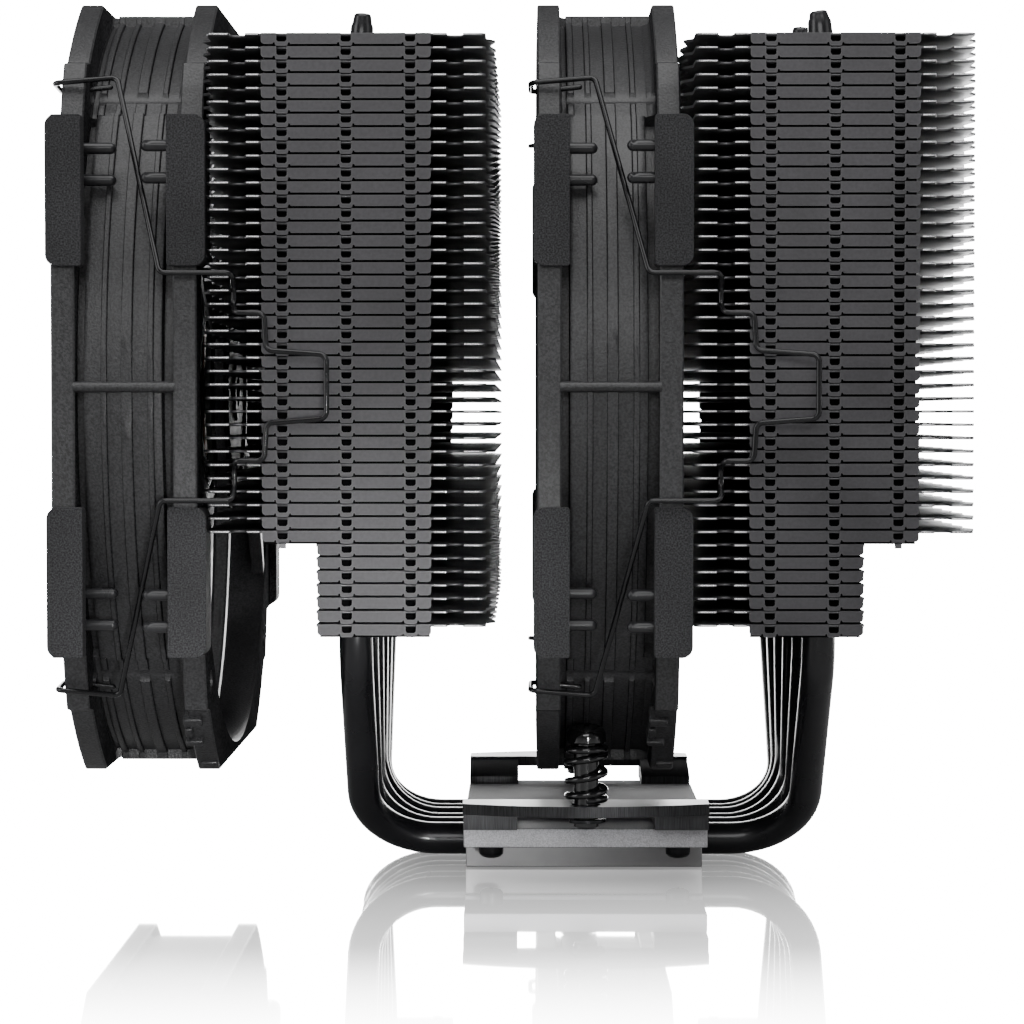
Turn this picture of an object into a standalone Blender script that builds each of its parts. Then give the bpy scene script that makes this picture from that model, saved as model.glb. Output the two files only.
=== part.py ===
"""A dual-tower CPU cooler: six U-shaped heat pipes on a cold plate, two fin towers, two fans on wire clips.

Frame: +Z up, +X along the air flow, origin at the centre of the cold plate's contact face. Sizes below are in
millimetres and MM turns them into metres. "Near" is the -Y side and "far" the +Y side.
"""

import math

import bmesh
import bpy
from mathutils import Matrix, Vector

MM = 0.001

# Fin towers
TOWER_X = 41.65            # tower centre either side of the base
TOWER_DEPTH = 50.7         # along the air flow
TOWER_WIDTH = 150.0
FIN_PITCH = 2.29
FIN_SHEET = 0.45
FULL_FINS, SHORT_FINS = 38, 7
FINS_BOTTOM = 47.9
PLATES, SHORT_PLATES = 8, 2    # each plate stands for about five fins, with their total thickness
SHORT_FIN_CUT = 5.25       # the short fins start this far outboard of the tower centre
END_WALL_HALF = 15.0       # the folded flanges that close each end of the tower
END_WALL = 0.6
GROOVE_U, GROOVE_WIDTH, GROOVE_DEPTH = 18.6, 3.4, 3.2
CORNER_CUT = (1.7, 64.5)    # the corners step back by this from where the pads reach in
FINS_STEP = FINS_BOTTOM + SHORT_FINS * FIN_PITCH
FINS_TOP = FINS_STEP + FULL_FINS * FIN_PITCH

# Heat pipes
PIPES = 6
PIPE_R = 3.0
PIPE_SIDES = 8
PIPE_PITCH_BASE = 6.9
PIPE_PITCH_TOWER = 20.0
PIPE_Z = 4.9
PIPE_BEND = 13.5
PIPE_HOLE_SIDE = 6.6
TALL_TIP, SHORT_TIP = 160.0, 153.6

# Base
BASE_HALF_X = 22.5
BASE_HALF_Y = 21.2
PLATE_TOP = 4.75
COVER_BOTTOM = 5.05
COVER_TOP = 10.6
LEDGE_HALF_Y = 36.5
LEDGE_BOTTOM, LEDGE_TOP = 5.9, 9.4
GROOVE_R = 3.35

# Brackets and screws
BRACKET_BOTTOM, BRACKET_UNDER, BRACKET_TOP = 9.7, 12.6, 14.6
BRACKET_HALF_X, BRACKET_LEG_X = 22.6, 12.6
BRACKET_IN_Y, BRACKET_LEG_IN_Y = 34.5, 24.0
BRACKET_END_Y, BRACKET_MID_Y = 40.8, 45.4
LEG_RAMP = (11.9, 14.2)    # the legs' tops slope from their inner ends up to the plate
SCREW_Y = 41.5             # 83 mm between the two spring screws
BRACKET_SCREW = (17.5, 27.0)
BRACKET_SCREW_R, BRACKET_SCREW_HOLE_R = 1.25, 1.6
SPRING_SHAFT_R, SPRING_HOLE_R = 2.3, 2.65
SPRING_HEAD_R = 3.65
SPRING_HEAD = (25.9, 29.4)
SPRING_FOOT = 10.3
RING_GROOVE_R = 1.75
SPRING_COIL_R, SPRING_WIRE_R, SPRING_TURNS = 3.5, 0.6, 4.5
RING_Z = (11.4, 12.1)

# Fans
FAN_THICK = 25.0
FAN_Z = 90.5
FAN_TO_TOWER = -50.65      # intake face of a fan, from its tower's centre
FAN_BORE_R = 68.0
FLANGE = 4.1
FLANGE_R, FLANGE_HALF_Y, FLANGE_HALF_Z = 79.0, 74.0, 70.1
BARREL_R, BARREL_HALF_Y, BARREL_HALF_Z = 72.0, 71.5, 69.6
FAN_HOLE, FAN_HOLE_R = 52.5, 2.15
EAR_CORNERS = ((74.0, 46.5), (62.4, 47.0), (60.0, 53.0), (58.0, 57.0), (54.0, 57.6))
STRUT_ANGLE, STRUT_THICK = 56.0, 3.4
HUB_BASE_R, HUB_PLATE = 21.0, 2.6
TUBE_FRONT, TUBE_IN_R, TUBE_OUT_R = 9.5, 3.2, 4.5
SHAFT_R = 1.45
BLADES = 7
HUB_R, BLADE_TIP_R = 21.5, 66.8

# Pads and clips
PAD_LOW, PAD_HIGH = 20.6, 46.4
INTAKE_PAD = (-0.7, 5.5)    # how far a pad reaches, inwards from its flange's outer face
OUTLET_PAD = (-1.6, 5.0)
PAD_FACE_Y, PAD_INNER_Y, PAD_SKIN_Y = 67.0, 71.5, 75.3
WIRE_R = 0.5
GAP = 0.3                  # between pieces that rest on each other

COLOURS = {
    "fins": ((0.035, 0.035, 0.04), 0.4, 0.9),
    "pipes": ((0.02, 0.02, 0.022), 0.35, 0.7),
    "nickel": ((0.75, 0.74, 0.72), 0.25, 1.0),
    "satin_aluminium": ((0.22, 0.22, 0.23), 0.4, 1.0),
    "black_steel": ((0.025, 0.025, 0.028), 0.35, 0.8),
    "copper": ((0.7, 0.35, 0.2), 0.35, 1.0),
    "bright_steel": ((0.6, 0.6, 0.6), 0.3, 1.0),
    "fan_plastic": ((0.03, 0.03, 0.032), 0.6, 0.0),
    "rubber": ((0.035, 0.035, 0.037), 0.85, 0.0),
    "board": ((0.02, 0.12, 0.05), 0.5, 0.0),
}


def clear_scene():
    for obj in list(bpy.data.objects):
        bpy.data.objects.remove(obj)


def material(name):
    """The Principled material of one of COLOURS, made once."""
    if name in bpy.data.materials:
        return bpy.data.materials[name]
    colour, roughness, metallic = COLOURS[name]
    made = bpy.data.materials.new(name)
    made.use_nodes = True
    shader = made.node_tree.nodes["Principled BSDF"]
    shader.inputs["Base Color"].default_value = (*colour, 1.0)
    shader.inputs["Roughness"].default_value = roughness
    shader.inputs["Metallic"].default_value = metallic
    return made


def empty(name, location):
    """A point that pieces are placed from, in millimetres."""
    point = bpy.data.objects.new(name, None)
    point.location = Vector(location) * MM
    bpy.context.scene.collection.objects.link(point)
    return point


def to_object(name, bm, finish=None, smooth=False, parent=None, location=(0.0, 0.0, 0.0)):
    """Closes a bmesh built in millimetres, about the object's own origin, into an object in metres."""
    bmesh.ops.scale(bm, vec=(MM, MM, MM), verts=bm.verts)
    bmesh.ops.recalc_face_normals(bm, faces=bm.faces)
    mesh = bpy.data.meshes.new(name)
    bm.to_mesh(mesh)
    bm.free()
    if smooth:
        mesh.shade_smooth()
        mesh.set_sharp_from_angle(angle=math.radians(40))
    obj = bpy.data.objects.new(name, mesh)
    obj.parent = parent
    obj.location = Vector(location) * MM
    bpy.context.scene.collection.objects.link(obj)
    if finish:
        mesh.materials.append(material(finish))
    return obj


def boolean(obj, bm, operation):
    """Adds to obj, or cuts from it, a closed bmesh built about the same origin."""
    tool = to_object(f"{obj.name}_{operation.lower()}_{len(obj.modifiers)}", bm, None, False, obj.parent)
    tool.location = obj.location
    tool.hide_render = True
    tool.display_type = "WIRE"
    modifier = obj.modifiers.new(operation.title(), "BOOLEAN")
    modifier.operation = operation
    modifier.object = tool
    return obj


def box(bm, low, high):
    """Adds an axis-aligned box."""
    size = [b - a for a, b in zip(low, high)]
    centre = [(a + b) / 2 for a, b in zip(low, high)]
    matrix = Matrix.Translation(centre) @ Matrix.Diagonal((*size, 1.0))
    bmesh.ops.create_cube(bm, size=1.0, matrix=matrix)


def rings(bm, sections, close_ends=True, closed_loop=False):
    """Skins a list of equal rings of points, capping the first and the last."""
    made = [[bm.verts.new(p) for p in section] for section in sections]
    count = len(made[0])
    pairs = list(zip(made, made[1:]))
    if closed_loop:
        pairs.append((made[-1], made[0]))
    for low, high in pairs:
        for i in range(count):
            j = (i + 1) % count
            bm.faces.new((low[i], low[j], high[j], high[i]))
    if close_ends and not closed_loop:
        bm.faces.new(made[0][::-1])
        bm.faces.new(made[-1])


def prism(bm, outline, low, high, axis="Z"):
    """Extrudes an outline, given in the two other axes in X, Y, Z order, from low to high along axis."""
    place = {
        "X": lambda p, h: (h, p[0], p[1]),
        "Y": lambda p, h: (p[0], h, p[1]),
        "Z": lambda p, h: (p[0], p[1], h),
    }[axis]
    rings(bm, [[place(p, low) for p in outline], [place(p, high) for p in outline]])


def circle(radius, sides, centre=(0.0, 0.0), phase=0.5):
    """Points of a regular polygon whose corners lie on the circle."""
    turn = 2 * math.pi / sides
    return [
        (centre[0] + radius * math.cos((i + phase) * turn), centre[1] + radius * math.sin((i + phase) * turn))
        for i in range(sides)
    ]


def arc(radius, start, end, steps, centre=(0.0, 0.0)):
    """Points on an arc, angles in degrees, both ends included."""
    points = []
    for i in range(steps + 1):
        angle = math.radians(start + (end - start) * i / steps)
        points.append((centre[0] + radius * math.cos(angle), centre[1] + radius * math.sin(angle)))
    return points


def turned(bm, profile, sides):
    """Spins a closed profile of (x, radius) corners about X into a ring."""
    sections = []
    for i in range(sides):
        angle = 2 * math.pi * (i + 0.5) / sides
        c, s = math.cos(angle), math.sin(angle)
        sections.append([(x, r * c, r * s) for x, r in profile])
    rings(bm, sections, closed_loop=True)


def stepped_pin(bm, steps, sides):
    """A solid pin along Z from (height, radius) pairs, capped at both ends."""
    rings(bm, [[(x, y, height) for x, y in circle(radius, sides)] for height, radius in steps])


def filleted(points, radius, steps):
    """A path through points with each inner corner rounded to radius where its legs allow it."""
    path = [Vector(points[0])]
    for before, corner, after in zip(points, points[1:], points[2:]):
        corner = Vector(corner)
        into, out = Vector(before) - corner, Vector(after) - corner
        half = into.angle(out) / 2
        reach = min(radius / math.tan(half), into.length * 0.48, out.length * 0.48)
        start, end = corner + into.normalized() * reach, corner + out.normalized() * reach
        real_radius = reach * math.tan(half)
        centre = corner + (into.normalized() + out.normalized()).normalized() * (real_radius / math.sin(half))
        first, last = start - centre, end - centre
        sweep = first.angle(last)
        for i in range(steps + 1):
            t = i / steps
            blend = (first * math.sin((1 - t) * sweep) + last * math.sin(t * sweep)) / math.sin(sweep)
            path.append(centre + blend)
    path.append(Vector(points[-1]))
    return path


def tube(bm, path, radius, sides):
    """Sweeps a circle along a path. radius is one number or one for each point."""
    radii = radius if isinstance(radius, list) else [radius] * len(path)
    tangents = []
    for i in range(len(path)):
        ahead = path[min(i + 1, len(path) - 1)] - path[max(i - 1, 0)]
        tangents.append(ahead.normalized())
    side = tangents[0].orthogonal().normalized()
    sections = []
    for point, tangent, r in zip(path, tangents, radii):
        side = (side - tangent * side.dot(tangent)).normalized()
        up = tangent.cross(side)
        sections.append([point + side * (r * c) + up * (r * s) for c, s in circle(1.0, sides, phase=0.0)])
    rings(bm, sections)


# ---------------------------------------------------------------- fin towers


def fin_outline(low_u, high_u):
    """One fin in plan, as (u along the air flow from the tower centre, y), with its clip grooves."""
    half = TOWER_WIDTH / 2 - 0.2
    floor = half - GROOVE_DEPTH
    notch, notch_y = CORNER_CUT
    near = [(low_u, -notch_y), (low_u + notch, 0.4 - notch_y - notch), (low_u + notch, -half)]
    for centre in (-GROOVE_U, GROOVE_U):
        left, right = centre - GROOVE_WIDTH / 2, centre + GROOVE_WIDTH / 2
        if low_u < left and right < high_u:
            near += [(left, -half), (left, -floor), (right, -floor), (right, -half)]
    near += [(high_u - notch, -half), (high_u - notch, 0.4 - notch_y - notch), (high_u, -notch_y)]
    return near + [(u, -y) for u, y in reversed(near)]


def plate_with_pipe_holes(bm, outline, low, high):
    """A flat plate with one square pipe hole for each pipe, as a closed solid."""
    tops, bottoms = [], []
    loops = [outline]
    half = PIPE_HOLE_SIDE / 2
    for y in tower_pipe_ys():
        loops.append([(a * half, y + b * half) for a, b in ((-1, -1), (-1, 1), (1, 1), (1, -1))])
    for height, kept in ((low, bottoms), (high, tops)):
        edges = []
        for loop in loops:
            verts = [bm.verts.new((x, y, height)) for x, y in loop]
            kept.append(verts)
            edges += [bm.edges.new((verts[i], verts[(i + 1) % len(verts)])) for i in range(len(verts))]
        bmesh.ops.triangle_fill(bm, use_beauty=True, edges=edges)
    for lower, upper in zip(bottoms, tops):
        for i in range(len(lower)):
            j = (i + 1) % len(lower)
            bm.faces.new((lower[i], lower[j], upper[j], upper[i]))


def fin_pack(name, side, bottom, fins, plates, short=False):
    """A pack of plates joined by the folded end walls at its near and far ends."""
    low_u, high_u = -TOWER_DEPTH / 2, TOWER_DEPTH / 2
    wall_low, wall_high = -END_WALL_HALF, END_WALL_HALF
    if short and side < 0:
        low_u = wall_low = -SHORT_FIN_CUT
    if short and side > 0:
        high_u = wall_high = SHORT_FIN_CUT
    height = fins * FIN_PITCH - GAP
    thick = fins * FIN_SHEET / plates
    step = (height - thick) / (plates - 1)
    bm = bmesh.new()
    for k in range(plates):
        low = bottom + k * step
        plate_with_pipe_holes(bm, fin_outline(low_u, high_u), low, low + thick)
    pack = to_object(name, bm, "fins", location=(side * TOWER_X, 0.0, 0.0))
    for end in (-1, 1):
        inner, outer = sorted((end * TOWER_WIDTH / 2, end * (TOWER_WIDTH / 2 - END_WALL)))
        wall = bmesh.new()
        box(wall, (wall_low, inner, bottom + 0.2), (wall_high, outer, bottom + height - 0.2))
        boolean(pack, wall, "UNION")
    return pack


def tower_pipe_ys():
    return [(i - (PIPES - 1) / 2) * PIPE_PITCH_TOWER for i in range(PIPES)]


# ---------------------------------------------------------------- heat pipes and base


def heat_pipe(index):
    """One U-shaped pipe: tips above both towers, legs that slant outwards, and a straight run through the base."""
    place = index - (PIPES - 1) / 2
    y_base, y_tower = place * PIPE_PITCH_BASE, place * PIPE_PITCH_TOWER
    tall_side = 1 if index % 2 == 0 else -1
    corners = []
    for side in (-1, 1):
        leg = [
            Vector((side * TOWER_X, y_tower, FINS_TOP - 1.0)),
            Vector((side * TOWER_X, y_tower, FINS_BOTTOM - 6.0)),
            Vector((side * TOWER_X, y_base, PIPE_Z)),
        ]
        corners += leg if side < 0 else leg[::-1]
    path = filleted(corners, PIPE_BEND, 3)
    radii = [PIPE_R] * len(path)
    for side in (-1, 1):
        top = TALL_TIP if side == tall_side else SHORT_TIP
        tip = [(FINS_TOP + 0.6, 1.0), (FINS_TOP + 1.2, 0.9), (top - 0.9, 0.58), (top, 0.3)]
        points = [Vector((side * TOWER_X, y_tower, z)) for z, _ in tip]
        shares = [PIPE_R * share for _, share in tip]
        if side < 0:
            path, radii = points[::-1] + path, shares[::-1] + radii
        else:
            path, radii = path + points, radii + shares
    bm = bmesh.new()
    tube(bm, path, radii, PIPE_SIDES)
    return to_object(f"heat_pipe_{index + 1}", bm, "pipes", smooth=True)


def base_pipe_ys():
    return [(i - (PIPES - 1) / 2) * PIPE_PITCH_BASE for i in range(PIPES)]


def cold_plate():
    """The copper plate, with a half-round groove for each pipe in its top face."""
    dip = math.degrees(math.asin((PIPE_Z - PLATE_TOP) / GROOVE_R))
    outline = [(-BASE_HALF_Y, 0.0), (BASE_HALF_Y, 0.0), (BASE_HALF_Y, PLATE_TOP)]
    for y in reversed(base_pipe_ys()):
        outline += arc(GROOVE_R, -dip, -180 + dip, 6, (y, PIPE_Z))
    outline.append((-BASE_HALF_Y, PLATE_TOP))
    bm = bmesh.new()
    prism(bm, outline, -BASE_HALF_X + 0.1, BASE_HALF_X - 0.1, "X")
    return to_object("cold_plate", bm, "nickel")


def pipe_cover_block():
    """The aluminium block over the pipes, with the ledges that carry the brackets."""
    rise = math.degrees(math.asin((COVER_BOTTOM - PIPE_Z) / GROOVE_R))
    outline = [(-BASE_HALF_Y - 0.3, COVER_BOTTOM)]
    for y in base_pipe_ys():
        outline += arc(GROOVE_R, 180 - rise, rise, 6, (y, PIPE_Z))
    outline += [
        (BASE_HALF_Y + 0.3, COVER_BOTTOM),
        (BASE_HALF_Y + 0.3, LEDGE_BOTTOM),
        (LEDGE_HALF_Y, LEDGE_BOTTOM),
        (LEDGE_HALF_Y, LEDGE_TOP),
        (BASE_HALF_Y, LEDGE_TOP),
        (BASE_HALF_Y, COVER_TOP),
        (-BASE_HALF_Y, COVER_TOP),
        (-BASE_HALF_Y, LEDGE_TOP),
        (-LEDGE_HALF_Y, LEDGE_TOP),
        (-LEDGE_HALF_Y, LEDGE_BOTTOM),
        (-BASE_HALF_Y - 0.3, LEDGE_BOTTOM),
    ]
    bm = bmesh.new()
    prism(bm, outline, -BASE_HALF_X, BASE_HALF_X, "X")
    block = to_object("pipe_cover_block", bm, "satin_aluminium")
    drills = bmesh.new()
    for x in (-1, 1):
        for y in (-1, 1):
            hole = circle(BRACKET_SCREW_HOLE_R, 8, (x * BRACKET_SCREW[0], y * BRACKET_SCREW[1]))
            prism(drills, hole, LEDGE_BOTTOM - 1, LEDGE_TOP + 1)
    return boolean(block, drills, "DIFFERENCE")


# ---------------------------------------------------------------- brackets and sprung screws


def bracket(name, side):
    """A steel bridge: a plate with a bowed outer edge, standing on two legs that the bracket screws hold."""
    bow = BRACKET_MID_Y - BRACKET_END_Y
    outline = [(-BRACKET_HALF_X, side * BRACKET_IN_Y), (BRACKET_HALF_X, side * BRACKET_IN_Y)]
    steps = 8
    for i in range(steps + 1):
        x = BRACKET_HALF_X * (1 - 2 * i / steps)
        outline.append((x, side * (BRACKET_END_Y + bow * (1 - (x / BRACKET_HALF_X) ** 2))))
    bm = bmesh.new()
    prism(bm, outline, BRACKET_UNDER, BRACKET_TOP)
    made = to_object(name, bm, "black_steel")
    for end in (-1, 1):
        leg = bmesh.new()
        xs = sorted((end * BRACKET_LEG_X, end * (BRACKET_HALF_X - 0.1)))
        profile = [
            (side * BRACKET_LEG_IN_Y, BRACKET_BOTTOM),
            (side * (BRACKET_END_Y - 0.3), BRACKET_BOTTOM),
            (side * (BRACKET_END_Y - 0.3), BRACKET_UNDER + 0.8),
            (side * BRACKET_IN_Y, LEG_RAMP[1]),
            (side * BRACKET_LEG_IN_Y, LEG_RAMP[0]),
        ]
        prism(leg, profile, *xs, "X")
        boolean(made, leg, "UNION")
    drills = bmesh.new()
    prism(drills, circle(SPRING_HOLE_R, 16, (0, side * SCREW_Y)), BRACKET_UNDER - 1, BRACKET_TOP + 1)
    for end in (-1, 1):
        hole = circle(BRACKET_SCREW_HOLE_R, 8, (end * BRACKET_SCREW[0], side * BRACKET_SCREW[1]))
        prism(drills, hole, BRACKET_BOTTOM - 1, BRACKET_TOP + 1)
    return boolean(made, drills, "DIFFERENCE")


def bracket_screw(name, x_side, y_side):
    """A pan-head screw, driven upwards through the ledge into the bracket's leg."""
    bm = bmesh.new()
    steps = [
        (2.7, 1.5),
        (3.4, 2.2),
        (LEDGE_BOTTOM - GAP, 2.3),
        (LEDGE_BOTTOM - GAP, BRACKET_SCREW_R),
        (12.0, BRACKET_SCREW_R),
    ]
    stepped_pin(bm, steps, 8)
    centre = (x_side * BRACKET_SCREW[0], y_side * BRACKET_SCREW[1], 0.0)
    return to_object(name, bm, "bright_steel", smooth=True, location=centre)


def spring_screw(name, side):
    """A shouldered screw with a cross recess, a groove for its retaining ring and a threaded bore in its foot."""
    bm = bmesh.new()
    ring_low, ring_high = RING_Z
    low, high = SPRING_HEAD
    steps = [
        (SPRING_FOOT, SPRING_SHAFT_R),
        (ring_low - GAP, SPRING_SHAFT_R),
        (ring_low - GAP, RING_GROOVE_R),
        (ring_high + GAP / 3, RING_GROOVE_R),
        (ring_high + GAP / 3, SPRING_SHAFT_R),
        (low, SPRING_SHAFT_R),
        (low, SPRING_HEAD_R),
        (high - 1.6, SPRING_HEAD_R - 0.1),
        (high, SPRING_HEAD_R - 1.3),
    ]
    stepped_pin(bm, steps, 14)
    screw = to_object(name, bm, "black_steel", smooth=True, location=(0.0, side * SCREW_Y, 0.0))
    bore = bmesh.new()
    prism(bore, circle(1.25, 6), SPRING_FOOT - 1, SPRING_FOOT + 9)
    boolean(screw, bore, "DIFFERENCE")
    arm, half = 2.0, 0.5
    plus = []
    for turn in range(4):
        for x, y in ((arm, -half), (arm, half), (half, half)):
            for _ in range(turn):
                x, y = -y, x
            plus.append((x, y))
    cross = bmesh.new()
    prism(cross, plus, high - 1.4, high + 1)
    return boolean(screw, cross, "DIFFERENCE")


def spring(name, side):
    """A compression spring between the bracket and the screw's head, with its end coils closed up."""
    low, high = BRACKET_TOP + SPRING_WIRE_R + GAP, SPRING_HEAD[0] - SPRING_WIRE_R - GAP
    per_turn = 9
    count = int(SPRING_TURNS * per_turn)
    path = []
    for i in range(count + 1):
        t = i / count
        angle = 2 * math.pi * SPRING_TURNS * t
        open_turns = min(1.0, max(0.0, (t - 0.06) / 0.84))
        rise = 0.05 * t + 0.95 * open_turns * open_turns * (3 - 2 * open_turns)
        path.append(
            Vector((SPRING_COIL_R * math.cos(angle), SPRING_COIL_R * math.sin(angle), low + (high - low) * rise))
        )
    bm = bmesh.new()
    tube(bm, path, SPRING_WIRE_R, 4)
    return to_object(name, bm, "black_steel", smooth=True, location=(0.0, side * SCREW_Y, 0.0))


def retaining_ring(name, side):
    """The open ring in the screw's groove, under the bracket."""
    outline = arc(3.6, -150, 150, 8) + arc(RING_GROOVE_R + 0.25, 150, -150, 8)
    bm = bmesh.new()
    prism(bm, outline, *RING_Z)
    return to_object(name, bm, "bright_steel", location=(0.0, side * SCREW_Y, 0.0))


# ---------------------------------------------------------------- fans


def quarter_outline(corners, radius, half_y, half_z):
    """The first quarter of a frame outline, from (y, 0) to (0, z): corners, then the arc, then the flat."""
    arc_start = math.degrees(math.atan2(corners[-1][1], corners[-1][0])) if corners else 0.0
    points = [(half_y, 0.0)] + list(corners)
    if not corners:
        arc_start = math.degrees(math.acos(half_y / radius))
        points.append((half_y, half_y * math.tan(math.radians(arc_start))))
    arc_end = math.degrees(math.asin(half_z / radius))
    points += arc(radius, arc_start + 1.0, arc_end, 4)
    return points + [(0.0, half_z)]


def ray_to_outline(points, angle):
    """The distance from the centre to a quarter outline along angle, in radians."""
    c, s = math.cos(angle), math.sin(angle)
    for (y0, z0), (y1, z1) in zip(points, points[1:]):
        dy, dz = y1 - y0, z1 - z0
        slope = c * dz - s * dy
        if abs(slope) < 1e-9:
            continue
        t = (s * y0 - c * z0) / slope
        if -1e-6 <= t <= 1 + 1e-6:
            return c * (y0 + t * dy) + s * (z0 + t * dz)
    return points[-1][1]


def frame_angles(quarter):
    """The angles where a frame's rings have points: every corner of the flange, and steps between."""
    one = sorted({0.0, 90.0, 16.0, 57.0, 76.0} | {math.degrees(math.atan2(z, y)) for y, z in quarter})
    angles = []
    for q in range(4):
        folded = one if q % 2 == 0 else [90 - a for a in reversed(one)]
        angles += [math.radians(q * 90 + a) for a in folded[:-1]]
    return angles


def frame_ring(quarter, angles, x):
    """The full ring of points, at height x along the fan's axis, where rays at the angles meet the outline."""
    ring = []
    for angle in angles:
        c, s = math.cos(angle), math.sin(angle)
        r = ray_to_outline(quarter, math.atan2(abs(s), abs(c)))
        ring.append((x, r * c, r * s))
    return ring


def beside_strut(radius, offset):
    """A point (y, z) beside the lower near strut, offset square to it."""
    along = math.radians(180 + STRUT_ANGLE)
    return (
        radius * math.cos(along) - offset * math.sin(along),
        radius * math.sin(along) + offset * math.cos(along),
    )


def fan_frame(name, parent):
    """Two flanges with ears, a barrel between them, a hub plate on four struts, and the bearing tube."""
    flange = quarter_outline(EAR_CORNERS, FLANGE_R, FLANGE_HALF_Y, FLANGE_HALF_Z)
    barrel = quarter_outline((), BARREL_R, BARREL_HALF_Y, BARREL_HALF_Z)
    angles = frame_angles(flange)
    bore = [(FAN_BORE_R * math.cos(a), FAN_BORE_R * math.sin(a)) for a in angles]
    sections = [
        frame_ring(flange, angles, 0.0),
        frame_ring(flange, angles, FLANGE),
        frame_ring(barrel, angles, FLANGE),
        frame_ring(barrel, angles, FAN_THICK - FLANGE),
        frame_ring(flange, angles, FAN_THICK - FLANGE),
        frame_ring(flange, angles, FAN_THICK),
        [(FAN_THICK, y, z) for y, z in bore],
        [(0.0, y, z) for y, z in bore],
    ]
    bm = bmesh.new()
    rings(bm, sections, closed_loop=True)
    frame = to_object(name, bm, "fan_plastic", parent=parent)

    spider = bmesh.new()
    for k in range(4):
        turn = math.radians(180 + STRUT_ANGLE + 90 * k)
        outline = []
        for radius, half in ((HUB_BASE_R - 3, 2.2), (FAN_BORE_R + 1.6, 1.6)):
            reach = math.atan2(half, radius)
            pair = [(radius * math.cos(turn + a), radius * math.sin(turn + a)) for a in (-reach, reach)]
            outline += pair if not outline else pair[::-1]
        prism(spider, outline, FAN_THICK - STRUT_THICK, FAN_THICK - 0.15, "X")
    boolean(frame, spider, "UNION")
    hub = bmesh.new()
    plate = FAN_THICK - HUB_PLATE
    profile = [
        (TUBE_FRONT, TUBE_IN_R),
        (TUBE_FRONT, TUBE_OUT_R),
        (plate, TUBE_OUT_R),
        (plate, HUB_BASE_R),
        (FAN_THICK, HUB_BASE_R),
        (FAN_THICK, TUBE_IN_R),
    ]
    turned(hub, profile, 20)
    boolean(frame, hub, "UNION")

    holes = bmesh.new()
    for y in (-1, 1):
        for z in (-1, 1):
            prism(holes, circle(FAN_HOLE_R, 8, (y * FAN_HOLE, z * FAN_HOLE)), -1, FAN_THICK + 1, "X")
    boolean(frame, holes, "DIFFERENCE")
    channel = bmesh.new()
    corners = [beside_strut(r, offset) for r, offset in ((66.0, 2.6), (82.0, 2.6), (82.0, 5.4), (66.0, 5.4))]
    prism(channel, corners, FAN_THICK - 3.0, FAN_THICK + 1, "X")
    return boolean(frame, channel, "DIFFERENCE")


def fan_cable(name, parent):
    """The lead beside a strut, from the hub to the channel in the outlet flange."""
    ends = [Vector((FAN_THICK - 1.5, *beside_strut(r, 4.0))) for r in (HUB_BASE_R + 0.9, 79.0)]
    bm = bmesh.new()
    tube(bm, ends, 0.95, 6)
    return to_object(name, bm, "rubber", smooth=True, parent=parent)


def blade(k):
    """One swept blade, thickest in mid chord, as a closed bmesh that roots inside the hub."""
    root = HUB_R - 1.2
    sections = []
    for i in range(3):
        t = i / 2
        radius = root + (BLADE_TIP_R - root) * t
        lead = math.radians(360 * k / BLADES + 16 * t * t)
        chord = math.radians(44 - 3 * t)
        front, rear = [], []
        for j in range(4):
            share = j / 3
            angle = lead + chord * share
            x = 4.6 + (14.0 - 1.4 * t) * share + 1.6 * math.sin(math.pi * share)
            half = 0.45 + 0.5 * math.sin(math.pi * share)
            front.append((x - half, radius * math.cos(angle), radius * math.sin(angle)))
            rear.append((x + half, radius * math.cos(angle), radius * math.sin(angle)))
        sections.append(front + rear[::-1])
    bm = bmesh.new()
    rings(bm, sections)
    return bm


def impeller(name, parent):
    """The hub cup and its blades, about the spin axis."""
    cup = [
        (2.6, HUB_R - 1.4),
        (4.0, HUB_R),
        (19.6, HUB_R),
        (19.6, HUB_R - 2.2),
        (5.0, HUB_R - 2.2),
        (5.0, SHAFT_R + GAP),
        (3.8, SHAFT_R + GAP),
    ]
    bm = bmesh.new()
    rings(bm, [[(x, y, z) for y, z in circle(r, 20)] for x, r in cup])
    made = to_object(name, bm, "fan_plastic", smooth=True, parent=parent)
    for k in range(BLADES):
        boolean(made, blade(k), "UNION")
    return made


def ring_part(name, parent, low, high, inner, outer, sides, finish):
    """A plain ring about the fan's axis."""
    bm = bmesh.new()
    turned(bm, [(low, inner), (low, outer), (high, outer), (high, inner)], sides)
    return to_object(name, bm, finish, smooth=True, parent=parent)


def shaft(name, parent):
    bm = bmesh.new()
    prism(bm, circle(SHAFT_R, 12), 4.2, 21.5, "X")
    return to_object(name, bm, "bright_steel", smooth=True, parent=parent)


def stator(name, parent):
    """Four T-shaped poles on a collar round the bearing tube."""
    pole = ((6.2, -20), (11.0, -9), (11.2, -33), (13.2, -33), (13.2, 0), (13.2, 33), (11.2, 33), (11.0, 9), (6.2, 20))
    outline = []
    for k in range(4):
        for radius, angle in pole:
            turn = math.radians(angle + 90 * k)
            outline.append((radius * math.cos(turn), radius * math.sin(turn)))
    bm = bmesh.new()
    prism(bm, outline, 10.5, 18.5, "X")
    made = to_object(name, bm, "copper", parent=parent)
    bore = bmesh.new()
    prism(bore, circle(TUBE_OUT_R + GAP, 12), 9, 20, "X")
    return boolean(made, bore, "DIFFERENCE")


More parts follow.
